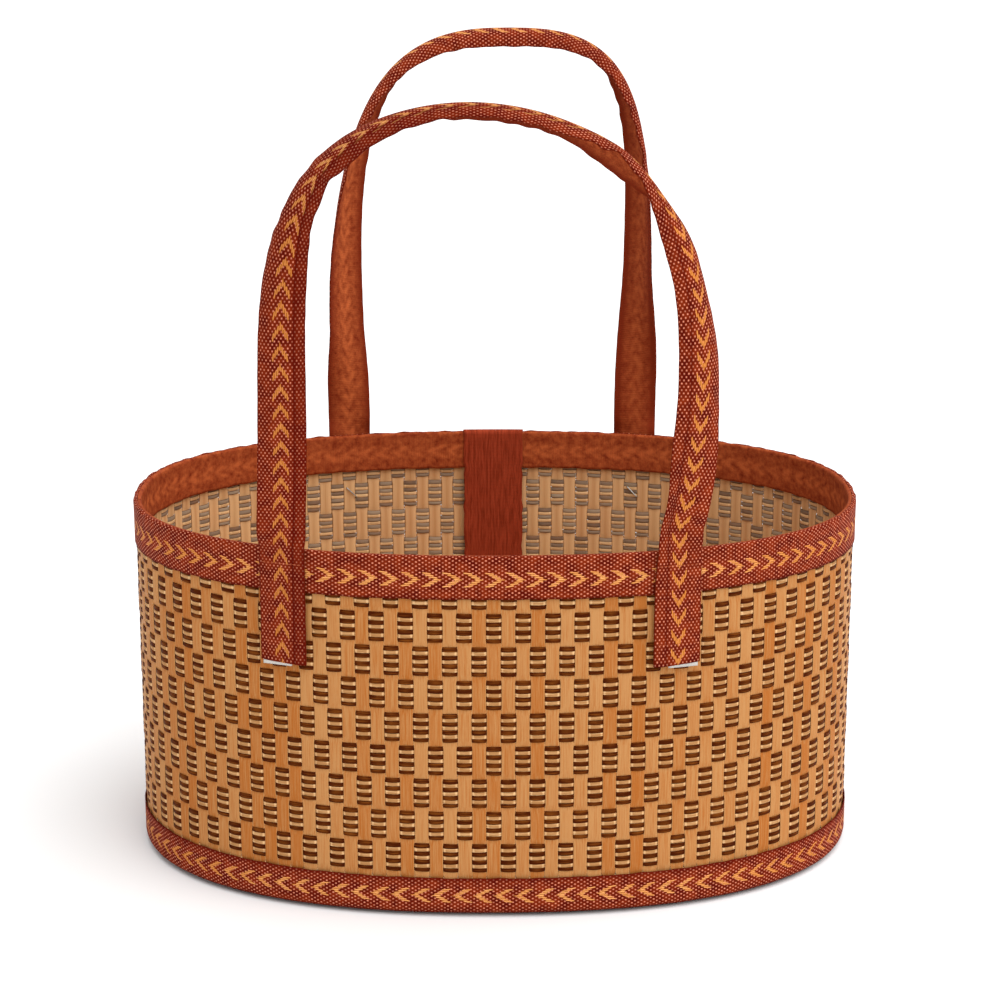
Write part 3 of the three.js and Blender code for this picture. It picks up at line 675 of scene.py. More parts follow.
class BASKET_OT_woven_wall(bpy.types.Operator):
    """Weaves the wall: upright slats, and rows of splints that pass over and under them in turn"""

    bl_idname = "basket.woven_wall"
    bl_label = "Woven wall"

    def execute(self, context):
        weave = context.scene.basket_weave
        draw = np.random.default_rng(11)
        line = OvalLine(MAT_MIDDLE)

        # A slat is a section carried up the wall, out by the wave of its column and of each row, and
        # narrower within the rows than between them. Each row has points at its edge, bends and middle.
        count = weave.columns
        column = np.arange(count)
        row = np.arange(-2, 10)[:, None] + np.array([-0.5, -0.36, 0, 0.36])
        height = (weave.row_middle - weave.row_pitch * row).ravel()
        height = np.unique(np.concatenate([[WALL_BOTTOM, WALL_TOP], height]))
        height = height[(height >= WALL_BOTTOM) & (height <= WALL_TOP)]
        beat = np.cos(np.pi * (weave.row_middle - height) / weave.row_pitch)
        side = np.where(column % 2 == 0, -1, 1)[:, None]
        out = MAT_MIDDLE + weave.slat_wave * side * eased(beat, 0.45)
        point, normal = line.at((column + weave.shift + draw.uniform(-0.01, 0.01, count)) / count)
        wide, high, painted_light = slat_section(weave)
        narrowed = 1 - draw.uniform(0.08, 0.13, count)[:, None] * np.clip(np.abs(beat) / 0.42, 0, 1)
        spread = narrowed[..., None] * wide
        points = (
            lifted(point[:, None], normal[:, None], out, height)[:, :, None]
            + np.cross(UP, normal)[:, None, None] * spread[..., None]
            + normal[:, None, None] * high[:, None]
        )
        material = strip_bamboo(weave, "slat", "split_bamboo_slat", (FIBRE, FIBRE, SLAT_STREAK), 0.42)
        tone = draw.uniform(0.1, 0.95, count)
        # The slats' paler edges also paint their highlight
        # The pith side is deepest along its middle
        marks = {"skin": np.where(high > 0, 1, 0.5 * (wide == 0)), "painted_light": painted_light}
        slats = grid_piece("wall_slats", points, material, tone=tone, marks=marks)
        settle(slats, "bamboo", "wall_mat")

        # A splint is a lens carried round the oval, out and in by the wave of its row and of each column.
        # Dark ones get painted shade at their ends, where they dive under the slats, and a painted sheen
        # over the middle of each slat they cross; pale ones get a painted highlight where they bend.
        bend = 0.42
        place = (column[:, None] + np.array([-0.5, -bend, -0.3, 0, 0.3, bend])).ravel()
        point, normal = line.at((place + weave.shift) / count)
        beat = eased(np.cos(np.pi * place), 0.7)
        crossing = np.round(place).astype(int) % count
        from_middle = np.abs(place - np.round(place))[:, None]
        # Painted shade where a dark splint dives under a slat, and a painted sheen over the slat's middle
        shade_and_sheen = 0.4 * smooth_step(from_middle, 0.5, 0.15) - 0.15
        # Painted highlight where a pale splint bends at a slat's edge
        bend_highlight = 0.9 - 0.9 * np.exp(-(((from_middle - bend) / 0.05) ** 2))
        rows = np.arange(-1, 9)
        row_middles = weave.row_middle - weave.row_pitch * rows
        span = (BASE_RIBBON_TOP, RIM_RIBBON_BOTTOM + weave.row_pitch / 4)
        grain = (SPLINT_STREAK, SPLINT_STREAK, FIBRE)
        for sort, name, painted_light, gloss in (
            ("dark", "stained_bamboo_splint", shade_and_sheen, 0.45),
            ("pale", "plain_bamboo_splint", bend_highlight, 0.4),
        ):
            material = strip_bamboo(weave, sort, name, grain, gloss)
            middles, sides, heights = row_splints(weave, sort, rows, row_middles, *span)
            up, out = splint_section(heights, weave.splint_thickness)
            sway = [ripple(place / count, (7, 31, 74), 40 + number) for number in range(len(middles))]
            level = middles[:, None] + 0.12 * MM * np.array(sway)
            centre = MAT_MIDDLE + weave.splint_wave * sides[:, None] * beat
            points = (
                lifted(point, normal, centre, level)[:, :, None]
                + normal[:, None] * out[:, None]
                + UP * up[:, None, :, None]
            )
            tone = draw.uniform(-0.05, 0.2, len(middles))
            # Each crossing keeps its own share of the skin's colour on the pith side
            kept = draw.uniform(0.0, 0.6, (len(middles), count))[:, crossing, None]
            skin = np.where(out >= 0, 1, kept)
            for half, part in zip(("lower", "upper"), np.array_split(np.argsort(middles), 2)):
                title = f"wall_{sort}_splints_{half}"
                marks = {"skin": skin[part], "painted_light": painted_light}
                splints = grid_piece(title, points[part], material, ring=True, tone=tone[part], marks=marks)
                settle(splints, "bamboo", "wall_mat")
        return {"FINISHED"}


class BASKET_OT_woven_floor(bpy.types.Operator):
    """Weaves the floor in the wall's pattern, with slats from front to back cut to the oval"""

    bl_idname = "basket.woven_floor"
    bl_label = "Woven floor"

    def execute(self, context):
        weave = context.scene.basket_weave
        draw = np.random.default_rng(23)
        half_length, half_depth = HALF_LENGTH + FLOOR_EDGE, HALF_DEPTH + FLOOR_EDGE
        pitch = OvalLine(MAT_MIDDLE).length / weave.columns

        def chord(place, reach, width):
            """How far the oval goes the other way at these places along one of its axes."""
            return width * (1 - np.clip(np.abs(place / reach), 0, 1) ** OVAL_POWER) ** (1 / OVAL_POWER)

        # Slats run along Y, each stretched between its ends on the oval, and the floor's weave is pressed
        # flatter than the wall's
        edge = int((half_length - weave.slat_width) / pitch)
        column = np.arange(-edge, edge + 1)
        share = np.linspace(-1, 1, 64)
        reach = chord(np.abs(column) * pitch + weave.slat_width / 2, half_length, half_depth)
        y = reach[:, None] * share
        side = np.where(column % 2 == 0, -1, 1)[:, None]
        z = FLOOR_MIDDLE + 0.75 * weave.slat_wave * side * eased(np.cos(np.pi * y / weave.row_pitch), 0.5)
        wide, high, painted_light = slat_section(weave)
        x = column[:, None, None] * pitch + wide
        points = np.stack(np.broadcast_arrays(x, y[..., None], z[..., None] + high), axis=-1)
        material = strip_bamboo(weave, "slat", "split_bamboo_floor_slat", (FIBRE, SLAT_STREAK, FIBRE), 0.45)
        tone = draw.uniform(0.2, 0.85, len(column))
        # The slats' paler edges also paint their highlight
        marks = {"skin": high < 0, "painted_light": painted_light}
        slats = grid_piece("floor_slats", points, material, tone=tone, marks=marks)
        settle(slats, "bamboo", "base_mat")

        # Splints run along X between their own ends on the oval
        rows = np.arange(-8, 9)
        last = half_depth - 2 * weave.dark_height
        share = np.linspace(-1, 1, 8 * edge + 1)
        grain = (SPLINT_STREAK, FIBRE, FIBRE)
        for sort, name, gloss in (
            ("dark", "stained_bamboo_floor_splint", 0.5),
            ("pale", "plain_bamboo_floor_splint", 0.45),
        ):
            material = strip_bamboo(weave, sort, name, grain, gloss)
            middles, sides, heights = row_splints(weave, sort, rows, rows * weave.row_pitch, -last, last)
            reach = chord(np.abs(middles) + weave.dark_height / 2, half_depth, half_length)
            x = reach[:, None] * share
            wave = eased(np.cos(np.pi * x / pitch), 0.7)
            z = FLOOR_MIDDLE + 0.62 * weave.splint_wave * sides[:, None] * wave
            over, high = splint_section(heights, weave.splint_thickness)
            y = (middles[:, None] + over)[:, None]
            points = np.stack(np.broadcast_arrays(x[..., None], y, z[..., None] + high), axis=-1)
            tone = draw.uniform(0.2, 0.5, len(middles))
            marks = {"skin": high <= 0}
            splints = grid_piece(f"floor_{sort}_splints", points, material, tone=tone, marks=marks)
            settle(splints, "bamboo", "base_mat")
        return {"FINISHED"}


class BASKET_OT_hoops(bpy.types.Operator):
    """Adds the flat bamboo hoops inside the wall at the rim and at the base"""

    bl_idname = "basket.hoops"
    bl_label = "Hoops"

    def execute(self, context):
        weave = context.scene.basket_weave
        count, ease = 360, 0.5 * MM
        point, normal = OvalLine(HOOP_OUTER).at(np.arange(count) / count)
        middle, half = (HOOP_OUTER + HOOP_INNER) / 2, (HOOP_OUTER - HOOP_INNER) / 2
        out = middle + half * np.array([0.4, 1, 1, 0.4, -0.4, -1, -1, -0.4])
        grain = (HOOP_STREAK, HOOP_STREAK, 0.6 * MM)
        material = strip_bamboo(weave, "slat", "split_bamboo_hoop", grain, 0.4)
        for name in ("rim_hoop", "base_hoop"):
            bottom, top = ends(name)
            rise = [bottom, bottom + ease, top - ease, top]
            high = np.array(rise + rise[::-1])
            points = lifted(point[:, None], normal[:, None], out, high)
            hoop = grid_piece(f"bamboo_{name}", points[None], material, ring=True, tone=[0.35])
            settle(hoop, "bamboo", name)
        return {"FINISHED"}


# Ribbon and cloth

def arc(centre_out, centre_up, radius, start, end, steps):
    """Points of a round corner in a profile: offsets and heights on a circle between two angles."""
    angle = np.radians(np.linspace(start, end, steps))
    return centre_out + radius * np.cos(angle), centre_up + radius * np.sin(angle)


def folded_line(outer, inner, top, radius, outer_end, inner_end):
    """One side of a band folded over the rim: up the outside, round both corners and down the inside."""
    step, shoulder = 4 * MM, top - radius
    rise = np.linspace(outer_end, shoulder, max(2, int((shoulder - outer_end) / step)))[:-1]
    fall = np.linspace(shoulder, inner_end, max(2, int((shoulder - inner_end) / step)))[1:]
    first = arc(outer - radius, shoulder, radius, 0, 90, 5)
    second = arc(inner + radius, shoulder, radius, 90, 180, 5)
    out = np.concatenate([np.full(len(rise), outer), first[0], second[0], np.full(len(fall), inner)])
    up = np.concatenate([rise, first[1], second[1], fall])
    return out, up


def turned_line(out, start, level, bend, end):
    """One side of a band turned over an edge: up or down at one offset from its start to a level, round a
    corner and on to an offset at that level."""
    inward, climb = np.sign(end - out), np.sign(level - start)
    rise = np.linspace(start, level - climb * bend, 15)[:-1]
    angle = np.linspace(0, np.pi / 2, 5)
    level_on = np.linspace(out + inward * bend, end, 4)[1:]
    corner_out = out + inward * bend * (1 - np.cos(angle))
    corner_up = level - climb * bend * (1 - np.sin(angle))
    outs = np.concatenate([np.full(len(rise), out), corner_out, level_on])
    return outs, np.concatenate([rise, corner_up, np.full(len(level_on), level)])


def band_section(outside, inside, line_height=None):
    """A closed section from a band's two sides, the place over the cloth of each of its points, which
    closes on the first, and the width of the cloth. The places start from the first point, or from the
    first that is at the given height."""
    out, up = (np.concatenate([a, b[::-1]]) for a, b in zip(outside, inside))
    place = run_along(np.stack(outside, axis=-1))
    width = float(place[-1])
    if line_height is not None:
        place = place - abs(outside[1][0] - line_height)
    return (out, up, np.concatenate([place, place[::-1], place[:1]])), width


def cloth_ring(
    name, slot, node, finish, turned, line_height, direction, shift, ripples,
    shade_and_hem=(), gathers=(),
):
    """A ribbon turned over an edge and carried round the oval, with its chevrons at a height. They run on
    without a break, because their count is a whole one, point one way round and are shifted by a part of
    their pitch. Each ripple moves the points between two heights out and up by an uneven wave. Between each
    two heights given for its edges the cloth darkens to its ground: painted shade along the ribbons' lower
    edges, and a plain, darker hem along the base ribbon's top. Away from the front its chevrons lose their
    painted sheen. Each gather packs more of the pattern in between two shares of the ring, and together
    they come to nothing."""
    ribbon = bpy.context.scene.basket_ribbon
    out, start, level, bend, end = turned
    inward, climb = np.sign(end - out), np.sign(level - start)
    outside, inside = (
        turned_line(out + inward * deep, start, level - climb * deep, bend - deep, end)
        for deep in (0, ribbon.thickness)
    )
    (out, up, place), width = band_section(outside, inside, line_height)
    line = OvalLine()
    count = 560
    share = np.arange(count) / count
    point, normal = line.at(share)
    outs = np.tile(out, (count, 1))
    ups = np.tile(up, (count, 1))
    for low, high, move_out, move_up, waves, seed in ripples:
        wave = ripple(share, waves, seed)[:, None] * smooth_step(up, low, high)
        outs += move_out * wave
        ups += move_up * wave
    points = lifted(point[:, None], normal[:, None], outs, ups)
    chevrons = round(line.length / ribbon.chevron_pitch)
    along = ribbon.chevron_pitch * (direction * np.linspace(0, chevrons, count + 1) + shift)
    for first, last, more in gathers:
        along += more * smooth_step(np.linspace(0, 1, count + 1), first, last)
    # Away from the front the chevrons lose their painted sheen
    marks = {"sheen_loss": RING_SHEEN_LOSS * smooth_step(np.abs(share - 0.5), *RING_FRONT)[:, None]}
    if shade_and_hem:
        marks["dim"] = RING_SHADE_AND_HEM * sum(smooth_step(up, *heights) for heights in shade_and_hem)
    material = make_material(finish, ribbon)
    piece = grid_piece(name, points[None], material, ring=True, uv=(along, place), marks=marks)
    settle(piece, slot, node)


class BASKET_OT_rim_ribbons(bpy.types.Operator):
    """Binds the rim: the outer ribbon and the lining turn over the lip and meet on top of it"""

    bl_idname = "basket.rim_ribbons"
    bl_label = "Rim ribbons"

    def execute(self, context):
        line_height = context.scene.basket_ribbon.rim_line
        low = RIM_RIBBON_BOTTOM
        turned = (0, low, RIM_TOP, LIP_RADIUS, LIP_MIDDLE)
        ripples = (
            (RIM_TOP - 8 * MM, RIM_TOP - 1 * MM, 0.12 * MM, 0.22 * MM, (41, 58, 83, 127), 3),
            (low + 5 * MM, low, 0.05 * MM, 0.16 * MM, (29, 67, 101), 4),
        )
        gathers = (
            (0.363, 0.455, -3 * MM), (0.455, 0.58, 1.9 * MM), (0.58, 0.68, 4.5 * MM), (0.7, 1, -3.4 * MM)
        )
        cloth_ring(
            "rim_ribbon", "ribbon", "rim_ribbon_outer", jacquard_ribbon, turned, line_height,
            direction=1, shift=0.286, ripples=ripples, gathers=gathers,
            # Painted shade along the rim ribbon's lower edge
            shade_and_hem=((low + 1.3 * MM, low + 0.2 * MM),),
        )

        low = INNER_RIBBON_BOTTOM
        turned = (INNER_RIBBON_INNER, low, RIM_TOP - LINING_DROP, LIP_RADIUS, LIP_MIDDLE - LINING_DROP)
        ripples = ((low + 5 * MM, low, 0.04 * MM, 0.2 * MM, (23, 61, 97), 5),)
        cloth_ring(
            "rim_ribbon_lining", "ribbon_reverse", "rim_ribbon_inner",
            jacquard_ribbon_reverse, turned, line_height, direction=1, shift=0, ripples=ripples,
        )
        return {"FINISHED"}


class BASKET_OT_base_ribbon(bpy.types.Operator):
    """Binds the base: the ribbon turns under the floor, and the basket stands on its edge"""

    bl_idname = "basket.base_ribbon"
    bl_label = "Base ribbon"

    def execute(self, context):
        line_height = context.scene.basket_ribbon.base_line
        hem, radius, top = 5 * MM, 4 * MM, BASE_RIBBON_TOP
        turned = (0, top, 0, radius, -hem)
        ripples = ((top - 5 * MM, top, 0.06 * MM, 0.2 * MM, (27, 59, 103), 6),)
        cloth_ring(
            "base_ribbon_binding", "ribbon", "base_ribbon", jacquard_ribbon, turned,
            line_height, direction=-1, shift=0.234, ripples=ripples,
            # Painted shade under the turned bottom edge, and a plain, darker hem along the top
            shade_and_hem=((2.8 * MM, 0.8 * MM), (top - 1.9 * MM, top - 0.7 * MM)),
        )
        return {"FINISHED"}


class BASKET_OT_seam_strip(bpy.types.Operator):
    """Covers the wall's seam with a strip of cloth, up the inside, over the rim and down the outside"""

    bl_idname = "basket.seam_strip"
    bl_label = "Seam strip"

    def execute(self, context):
        ribbon = context.scene.basket_ribbon
        thin = 0.6 * MM
        outer = CLEARANCE + thin
        inner = INNER_RIBBON_INNER - outer
        stops = (BASE_RIBBON_TOP + CLEARANCE, WALL_BOTTOM)
        outside, inside = (
            folded_line(outer - deep, inner + deep, SEAM_TOP - deep, LIP_RADIUS + outer - deep, *stops)
            for deep in (0, thin)
        )
        (out, up, place), length = band_section(outside, inside)
        line = OvalLine()
        count = 25
        reach = np.linspace(-1, 1, count)
        run = place[:-1] / length
        frayed = ribbon.seam_width / 2 + 0.35 * MM * ripple(run, (9, 23, 37, 51), 8)
        point, normal = line.at(reach[:, None] * frayed / line.length)
        pucker = 0.2 * MM * ripple(run, (5, 11, 17), 9) * np.abs(reach[:, None]) ** 3
        points = lifted(point, normal, out + pucker, up)
        along = reach * ribbon.seam_width / 2
        material = make_material(plain_cotton_cloth, ribbon)
        piece = grid_piece("seam_cover", points[None], material, uv=(along, place))
        settle(piece, "seam_cloth", "seam_strip")
        return {"FINISHED"}


# Handles

def leg_roots(handle):
    """Where a handle's left and right legs stand on the wall, seen from outside and out by the strap's
    seat, and the wall's normals there."""
    half = -handle["side"] * handle["spacing"] / 2
    x = np.array([handle["shift"] - half, handle["shift"] + half])
    turn = np.arcsin(-eased(x / HALF_LENGTH, OVAL_POWER / 2))
    points, normals = oval_at(turn if handle["side"] > 0 else np.pi - turn)
    return points + normals * STRAP_SEAT, normals


class StrapPath:
    """The middle line of a handle's strap from its left tab to its right one, seen from outside, with the
    strap's face, the direction across it and how far its edges curl back, at even steps. The arch leaves
    its legs upright, and follows its own slope after a stub."""

    step = 1.6 * MM
    stub = 12 * MM

    def __init__(self, handle, overrun=0.0):
        (left, right), normals = leg_roots(handle)
        along = unit(right - left)
        outward = np.cross(along, UP)
        self.foot = (left + right) / 2
        span = np.linalg.norm(right - left) / 2

        # The arch: sideways and climb are powers of a cosine and a sine over a half turn
        turn = np.linspace(0, np.pi, 20001)
        sideways = -eased(np.cos(turn), 2 / handle["top_power"])
        climb = np.abs(np.sin(turn)) ** (2 / handle["leg_power"])
        bulge = np.where(sideways < 0, -handle["bulges"][0], handle["bulges"][1])
        shoulder = (4 * climb * (1 - climb)) ** handle["bulge_power"]
        shoulder *= 1 + handle["bulge_sag"] * (1 - 2 * climb)
        x = span * sideways + handle["lean"] * climb ** 3 + bulge * shoulder
        z = handle["rise"] * climb
        run = run_along(np.stack([x, z], axis=-1))
        count = int(run[-1] / self.step)
        share = np.linspace(0, 1, count)
        x, z = np.interp(share * run[-1], run, x), np.interp(share * run[-1], run, z)
        slope = unit(np.stack([np.gradient(x), np.gradient(z)], axis=-1))
        upright = np.stack([np.zeros(count), np.where(share < 0.5, 1, -1)], axis=-1)
        free = smooth_step(np.minimum(share, 1 - share) * run[-1], 0, self.stub)[:, None]
        slope = unit(slope * free + upright * (1 - free))
        degrees = sum(by * smooth_step(share, a, b) for a, b, by in handle["turns"])
        twist = np.radians(degrees)[:, None]
        tangent = slope[:, :1] * along + slope[:, 1:] * UP
        crown = -slope[:, 1:] * along + slope[:, :1] * UP
        arch_face = np.cos(twist) * outward + np.sin(twist) * crown
        arch_middle = self.foot + UP * HINGE_HEIGHT + x[:, None] * along + z[:, None] * UP

        # The tabs: flat on the wall, then turning over the rim to the arch
        bottom = TAB_BOTTOM - overrun
        tab = np.linspace(bottom, HINGE_HEIGHT, int((HINGE_HEIGHT - bottom) / self.step))[:-1]
        turning = smooth_step(tab, RIM_TOP, TAB_TOP)[:, None]
        left_face, right_face = (unit(normal + (outward - normal) * turning) for normal in normals)
        rise = UP * tab[:, None]
        rising = np.tile(UP, (len(tab), 1))
        still = np.zeros(len(tab))
        self.middle = np.concatenate([left + rise, arch_middle, (right + rise)[::-1]])
        self.face = np.concatenate([left_face, arch_face, right_face[::-1]])
        self.tangent = np.concatenate([rising, tangent, -rising])
        self.across = np.cross(self.tangent, self.face)
        self.curl = np.concatenate([still, np.radians(STRAP_CURL) * np.sin(np.pi * share), still])
        run = run_along(self.middle)
        self.run, self.length = run, run[-1]
        self.share = (run / run[-1])[:, None]
        self.from_end = np.minimum(run, run[-1] - run)[:, None]

    def points(self, place, height, width):
        """Points of the strap at places across it and heights over its middle, on an arc whose ridge is
        the strap's middle and whose half angle at the edge is the curl."""
        radius = (width / 2 / np.maximum(self.curl, 1e-4))[:, None]
        angle = place / radius
        sideways = (radius + height) * np.sin(angle)
        raised = (radius + height) * np.cos(angle) - radius
        return (
            self.middle[:, None]
            + self.across[:, None] * sideways[..., None]
            + self.face[:, None] * raised[..., None]
        )


def tucked(handle, share, over):
    """How far a strap's inner side is drawn in at shares of it: each tuck fades with the square of the
    distance from its middle, and grows from near the strap's middle line to its edge."""
    depth = sum(deep * np.exp(-(((share - at) / reach) ** 2)) for at, reach, deep in handle["tucks"])
    return depth * smooth_step(over, 0.2, 1.0)


# Layers of a handle: each one's finish, its slot and what its solids are called
LAYERS = {
    "ribbon": (jacquard_ribbon, "ribbon", "ribbon_outer"),
    "lining": (jacquard_ribbon_reverse, "ribbon_reverse", "ribbon_inner"),
    "strap": (woven_plastic_strap, "strap_core", "core"),
}


def handle_layer(layer, handle, path, place, outside, inside, dim):
    """A strap's layer between two heights over its places across, which bends at the hinge line and stands
    for the solids of its tabs and its arch. Dim says how much painted shade darkens the cloth at each
    place. The line of the chevrons drifts over the strap along the crown, and off the crown the chevrons'
    painted sheen is taken down."""
    finish, slot, solid = LAYERS[layer]
    ribbon = bpy.context.scene.basket_ribbon
    share, width = path.share, ribbon.width
    places, heights, dims = (
        np.concatenate([face, back[:, ::-1]], axis=1)
        for face, back in ((place, place), (outside, inside), (dim, dim))
    )
    points = path.points(places, heights, width)

    # The cut ends are a little askew, so that the core shows under one corner
    if layer != "strap":
        slant = np.clip((0.3 * width - places) / (0.8 * width), 0, 1)
        askew = 1.2 * MM * slant * smooth_step(path.from_end, 14 * MM, 0)
        rising = np.where(path.run < path.length / 2, 1, -1)[:, None]
        points += path.tangent[:, None] * (askew * rising)[..., None]
    drift = sum(move * smooth_step(share, a, b) for a, b, move in handle["drifts"])
    falls = smooth_step(share, *CROWN_END)
    snug = 1 + handle["snug"] * smooth_step(share, *SNUG_START) * falls
    over = (np.concatenate([place[0], place[0][::-1], place[0][:1]]) - drift) * snug
    crown = smooth_step(share, *CROWN_START) * falls
    gathered = sum(more * smooth_step(share[:, 0], a, b) for a, b, more in handle["gathers"])
    along = (path.run + gathered - ribbon.strap_start) * ribbon.chevron_pitch / ribbon.strap_pitch
    marks = {"dim": dims, "sheen_loss": STRAP_SHEEN_LOSS * (1 - crown)}
    name = f"{handle['name']}_handle"
    material = make_material(finish, ribbon)
    piece = grid_piece(f"{name}_{layer}", points[None], material, uv=(along, over), marks=marks)
    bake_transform(piece)
    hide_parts(f"{name}_{solid}", *(f"{tab}_tab_{solid}" for tab in handle["tabs"]))
    return piece


class BASKET_OT_handle_straps(bpy.types.Operator):
    """Makes the handles: two ribbons over a plastic strap, puckered along their edges"""

    bl_idname = "basket.handle_straps"
    bl_label = "Handle straps"

    def execute(self, context):
        ribbon = context.scene.basket_ribbon
        half, thick = ribbon.width / 2, 0.9 * ribbon.thickness
        for number, handle in enumerate(HANDLES):
            # The ribbons are pressed flat on the wall, and loose and wavy along their edges at the crown
            path = StrapPath(handle)
            share = path.share
            high = smooth_step(path.middle[:, 2], *LOOSE)[:, None]
            over = np.linspace(-1, 1, 41)
            aside = np.abs(over)
            wave = ripple(share[:, 0], (31, 44, 53, 71), 20 + number)[:, None]
            uneven = 1 + 0.012 * (0.3 + high) * ripple(share[:, 0], (37, 59), 30 + number)[:, None]
            place = half * over * uneven - tucked(handle, share, over)
            pucker = 0.8 * MM * (0.08 + high) * aside ** 3 * wave
            face = RIBBON_FACE - 0.6 * MM * smooth_step(aside, 0.55, 1.0)

            # The outer ribbon has a sewn groove along one side and hems at its ends. Painted shade darkens
            # the groove, the strap's edges and the leg, with its tab, that faces away from the light,
            # deepest along one side
            groove = np.exp(-((over - 0.5) / 0.05) ** 2)
            hem = 0.3 * MM * smooth_step(path.from_end, HEM_LINE + 0.7 * MM, HEM_LINE - 0.8 * MM)
            outside = face + pucker - 0.4 * MM * groove + hem
            shaded_leg = smooth_step(share, 0.6, 0.4)
            leg_shade = (0.18 + 0.3 * smooth_step(over, 0.45, 0.6)) * shaded_leg
            dim = np.clip(0.75 * groove + leg_shade + 0.45 * smooth_step(aside, 0.9, 1.0), 0, 1)
            outer = handle_layer("ribbon", handle, path, place, outside, outside - thick, dim)
            below = pucker - face
            # Painted shade along the lining's edges and over the leg that faces away from the light
            dim = np.clip(smooth_step(aside, 0.5, 1.0) + 0.4 * shaded_leg, 0, 1)
            inner = handle_layer("lining", handle, path, place, below + thick, below, dim)

            # The core is longer, slid to one side at its ends and drawn in with the ribbons
            path = StrapPath(handle, overrun=TAB_BOTTOM - CORE_BOTTOM)
            over = np.linspace(-1, 1, 9)
            slid = -3.6 * MM * smooth_step(path.from_end, 30 * MM, 0)
            place = ribbon.core_width / 2 * over + slid - 1.2 * tucked(handle, path.share, over)
            level = np.full_like(place, CORE_HALF)
            handle_layer("strap", handle, path, place, level, -level, np.zeros_like(place))
        return {"FINISHED"}


class BASKET_OT_staples(bpy.types.Operator):
    """Adds a bright wire staple on the wall's inside behind each leg of the handles"""

    bl_idname = "basket.staples"
    bl_label = "Staples"

    def execute(self, context):
        wire, crown, bend = 0.4 * MM, 9.5 * MM / 2, 0.9 * MM
        depth = HOOP_OUTER - wire - STRAP_SEAT

        # A staple's line goes from one tip to the other, with a round bend at each end of its crown
        reach = crown - wire
        first = arc(-reach + bend, depth + bend, bend, 180, 270, 6)
        second = arc(reach - bend, depth + bend, bend, 270, 360, 6)
        along = np.concatenate([[-reach], first[0], second[0], [reach]])
        out = np.concatenate([[wire], first[1], second[1], [wire]])
        slope = unit(np.stack([np.gradient(along), np.gradient(out)], axis=-1))
        angle = np.linspace(0, 2 * np.pi, 10, endpoint=False)
        material = make_material(drawn_steel_wire, context.scene.basket_ribbon)
        for handle in HANDLES:
            for tab, root, normal in zip(handle["tabs"], *leg_roots(handle)):
                slant = unit(np.cross(UP, normal) + UP)
                side = np.cross(normal, slant)
                line = root + UP * STAPLE_HEIGHT + along[:, None] * slant + out[:, None] * normal
                bulge = -slope[:, 1:] * slant + slope[:, :1] * normal
                points = (
                    line[:, None]
                    + wire * np.cos(angle)[:, None] * side
                    + wire * np.sin(angle)[:, None] * bulge[:, None]
                )
                staple = grid_piece(f"{tab}_wire_staple", points[None], material)
                settle(staple, "staple", f"{tab}_staple")
        return {"FINISHED"}


class BASKET_OT_stitches(bpy.types.Operator):
    """Sews each leg's tab to the wall with a row of stitches at the rim and one near its end"""

    bl_idname = "basket.stitches"
    bl_label = "Stitches"

    def execute(self, context):
        # A stitch is a round thread, blunt at its ends, that dips into the ribbon there
        pitch, radius = 2.4 * MM, 0.28 * MM
        middles = np.arange(-4, 5) * pitch
        share = np.linspace(-1, 1, 7)
        place = middles[:, None] + 0.42 * pitch * share
        sink = STRAP_HALF - 0.1 * MM - 0.25 * MM * share ** 2
        ring = radius * np.sqrt(1 - 0.92 * share ** 4)[:, None]
        angle = np.linspace(0, 2 * np.pi, 6, endpoint=False)
        rows = (RIM_TOP - 7.2 * MM, TAB_BOTTOM + HEM_LINE)
        material = make_material(spun_thread, context.scene.basket_ribbon)
        for handle in HANDLES:
            for tab, root, normal in zip(handle["tabs"], *leg_roots(handle)):
                line = root + np.cross(UP, normal) * place[..., None] + normal * sink[:, None]
                lines = np.concatenate([line + UP * height for height in rows])
                points = (
                    lines[:, :, None]
                    + UP * (ring * np.cos(angle))[..., None]
                    + normal * (ring * np.sin(angle))[..., None]
                )
                stitches = grid_piece(f"{tab}_stitches", points, material)
                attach(stitches, "basket")
        return {"FINISHED"}


# The stage

def aimed(name, data, place, target):
    """A light or a camera that looks from its place to a target."""
    item = bpy.data.objects.new(name, data)
    item.location = place
    item.rotation_euler = (Vector(target) - Vector(place)).to_track_quat("-Z", "Y").to_euler()
    bpy.context.scene.collection.objects.link(item)
    return item


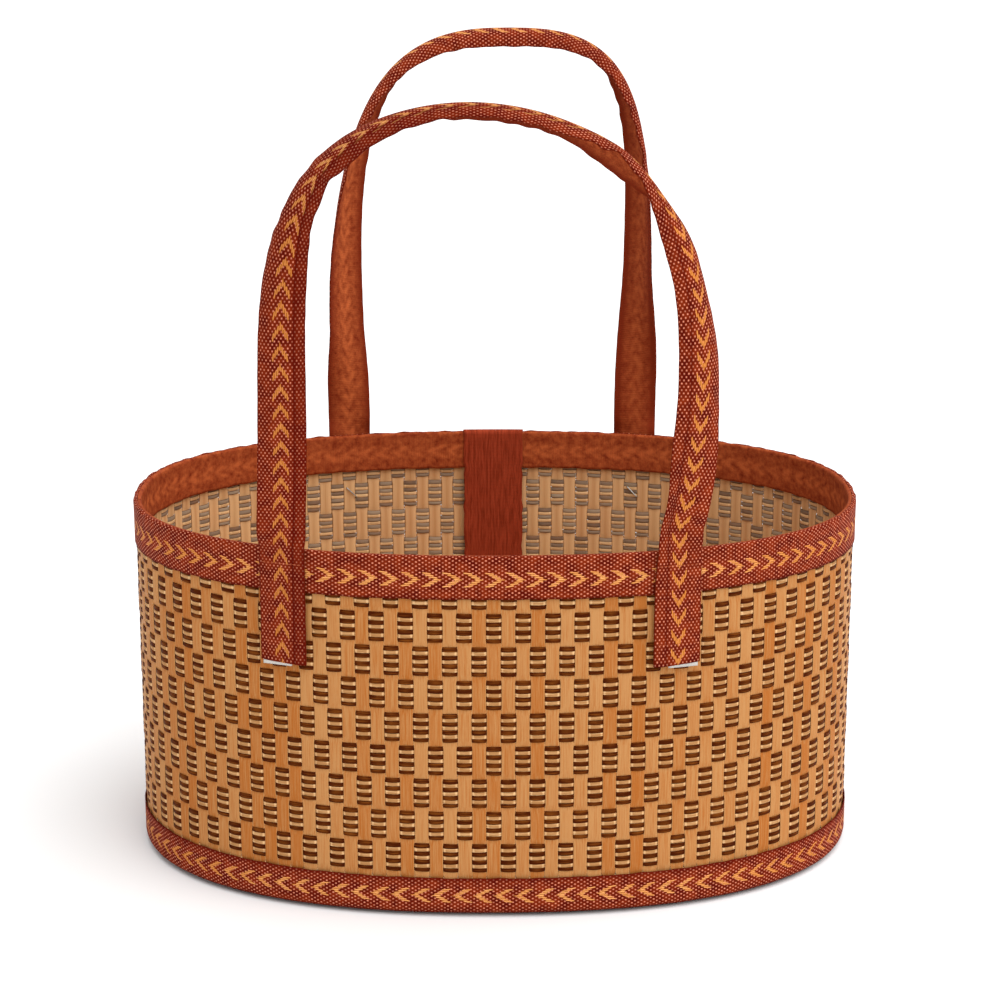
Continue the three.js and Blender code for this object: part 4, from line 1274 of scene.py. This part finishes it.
class BASKET_OT_stage(bpy.types.Operator):
    """Sets the pale floor, the soft light and the camera"""

    bl_idname = "basket.stage"
    bl_label = "Stage"

    def execute(self, context):
        scene = context.scene
        stage = scene.basket_stage

        # A woven basket touches only here and there, so the floor is a little below its edge
        side = np.linspace(-stage.floor_reach, stage.floor_reach, 9)
        x, y = np.meshgrid(side, side, indexing="ij")
        points = np.stack([x, y, np.full_like(x, -stage.floor_drop)], axis=-1)
        floor = grid_piece("floor", points[None], make_material(matt_painted_floor, stage), tube=False)

        world = bpy.data.worlds.new("soft_room")
        world.use_nodes = True
        sky = world.node_tree.nodes["Background"]
        sky.inputs["Color"].default_value = (1, 1, 1, 1)
        sky.inputs["Strength"].default_value = stage.sky
        scene.world = world
        light = bpy.data.lights.new("key_light", "SUN")
        light.energy = stage.key
        light.angle = stage.key_angle
        lens = bpy.data.cameras.new("camera")
        lens.lens = stage.lens
        lens.sensor_width = 36
        aimed("key_light", light, stage.key_place, (0, 0, 0))
        scene.camera = aimed("camera", lens, stage.camera, stage.target)
        scene.view_settings.view_transform = "Standard"
        return {"FINISHED"}


PIECES = (
    BASKET_OT_stage,
    BASKET_OT_woven_wall,
    BASKET_OT_woven_floor,
    BASKET_OT_hoops,
    BASKET_OT_rim_ribbons,
    BASKET_OT_base_ribbon,
    BASKET_OT_seam_strip,
    BASKET_OT_handle_straps,
    BASKET_OT_staples,
    BASKET_OT_stitches,
)
GROUPS = {"basket_weave": BasketWeave, "basket_ribbon": BasketRibbon, "basket_stage": BasketStage}


class BASKET_PT_pieces(bpy.types.Panel):
    """Lists the basket's pieces"""

    bl_idname = "BASKET_PT_pieces"
    bl_label = "Picnic basket"
    bl_space_type = "VIEW_3D"
    bl_region_type = "UI"
    bl_category = "Basket"

    def draw(self, context):
        for operator in PIECES:
            self.layout.operator(operator.bl_idname)
        for name, group in GROUPS.items():
            for size in group.__annotations__:
                self.layout.prop(getattr(context.scene, name), size)


def register():
    for name, group in GROUPS.items():
        bpy.utils.register_class(group)
        setattr(bpy.types.Scene, name, PointerProperty(type=group))
    for kind in (*PIECES, BASKET_PT_pieces):
        bpy.utils.register_class(kind)


def unregister():
    for kind in (BASKET_PT_pieces, *reversed(PIECES)):
        bpy.utils.unregister_class(kind)
    for name, group in GROUPS.items():
        delattr(bpy.types.Scene, name)
        bpy.utils.unregister_class(group)


def main():
    register()
    for operator in PIECES:
        group, name = operator.bl_idname.split(".")
        getattr(getattr(bpy.ops, group), name)()


if __name__ == "__main__":
    main()
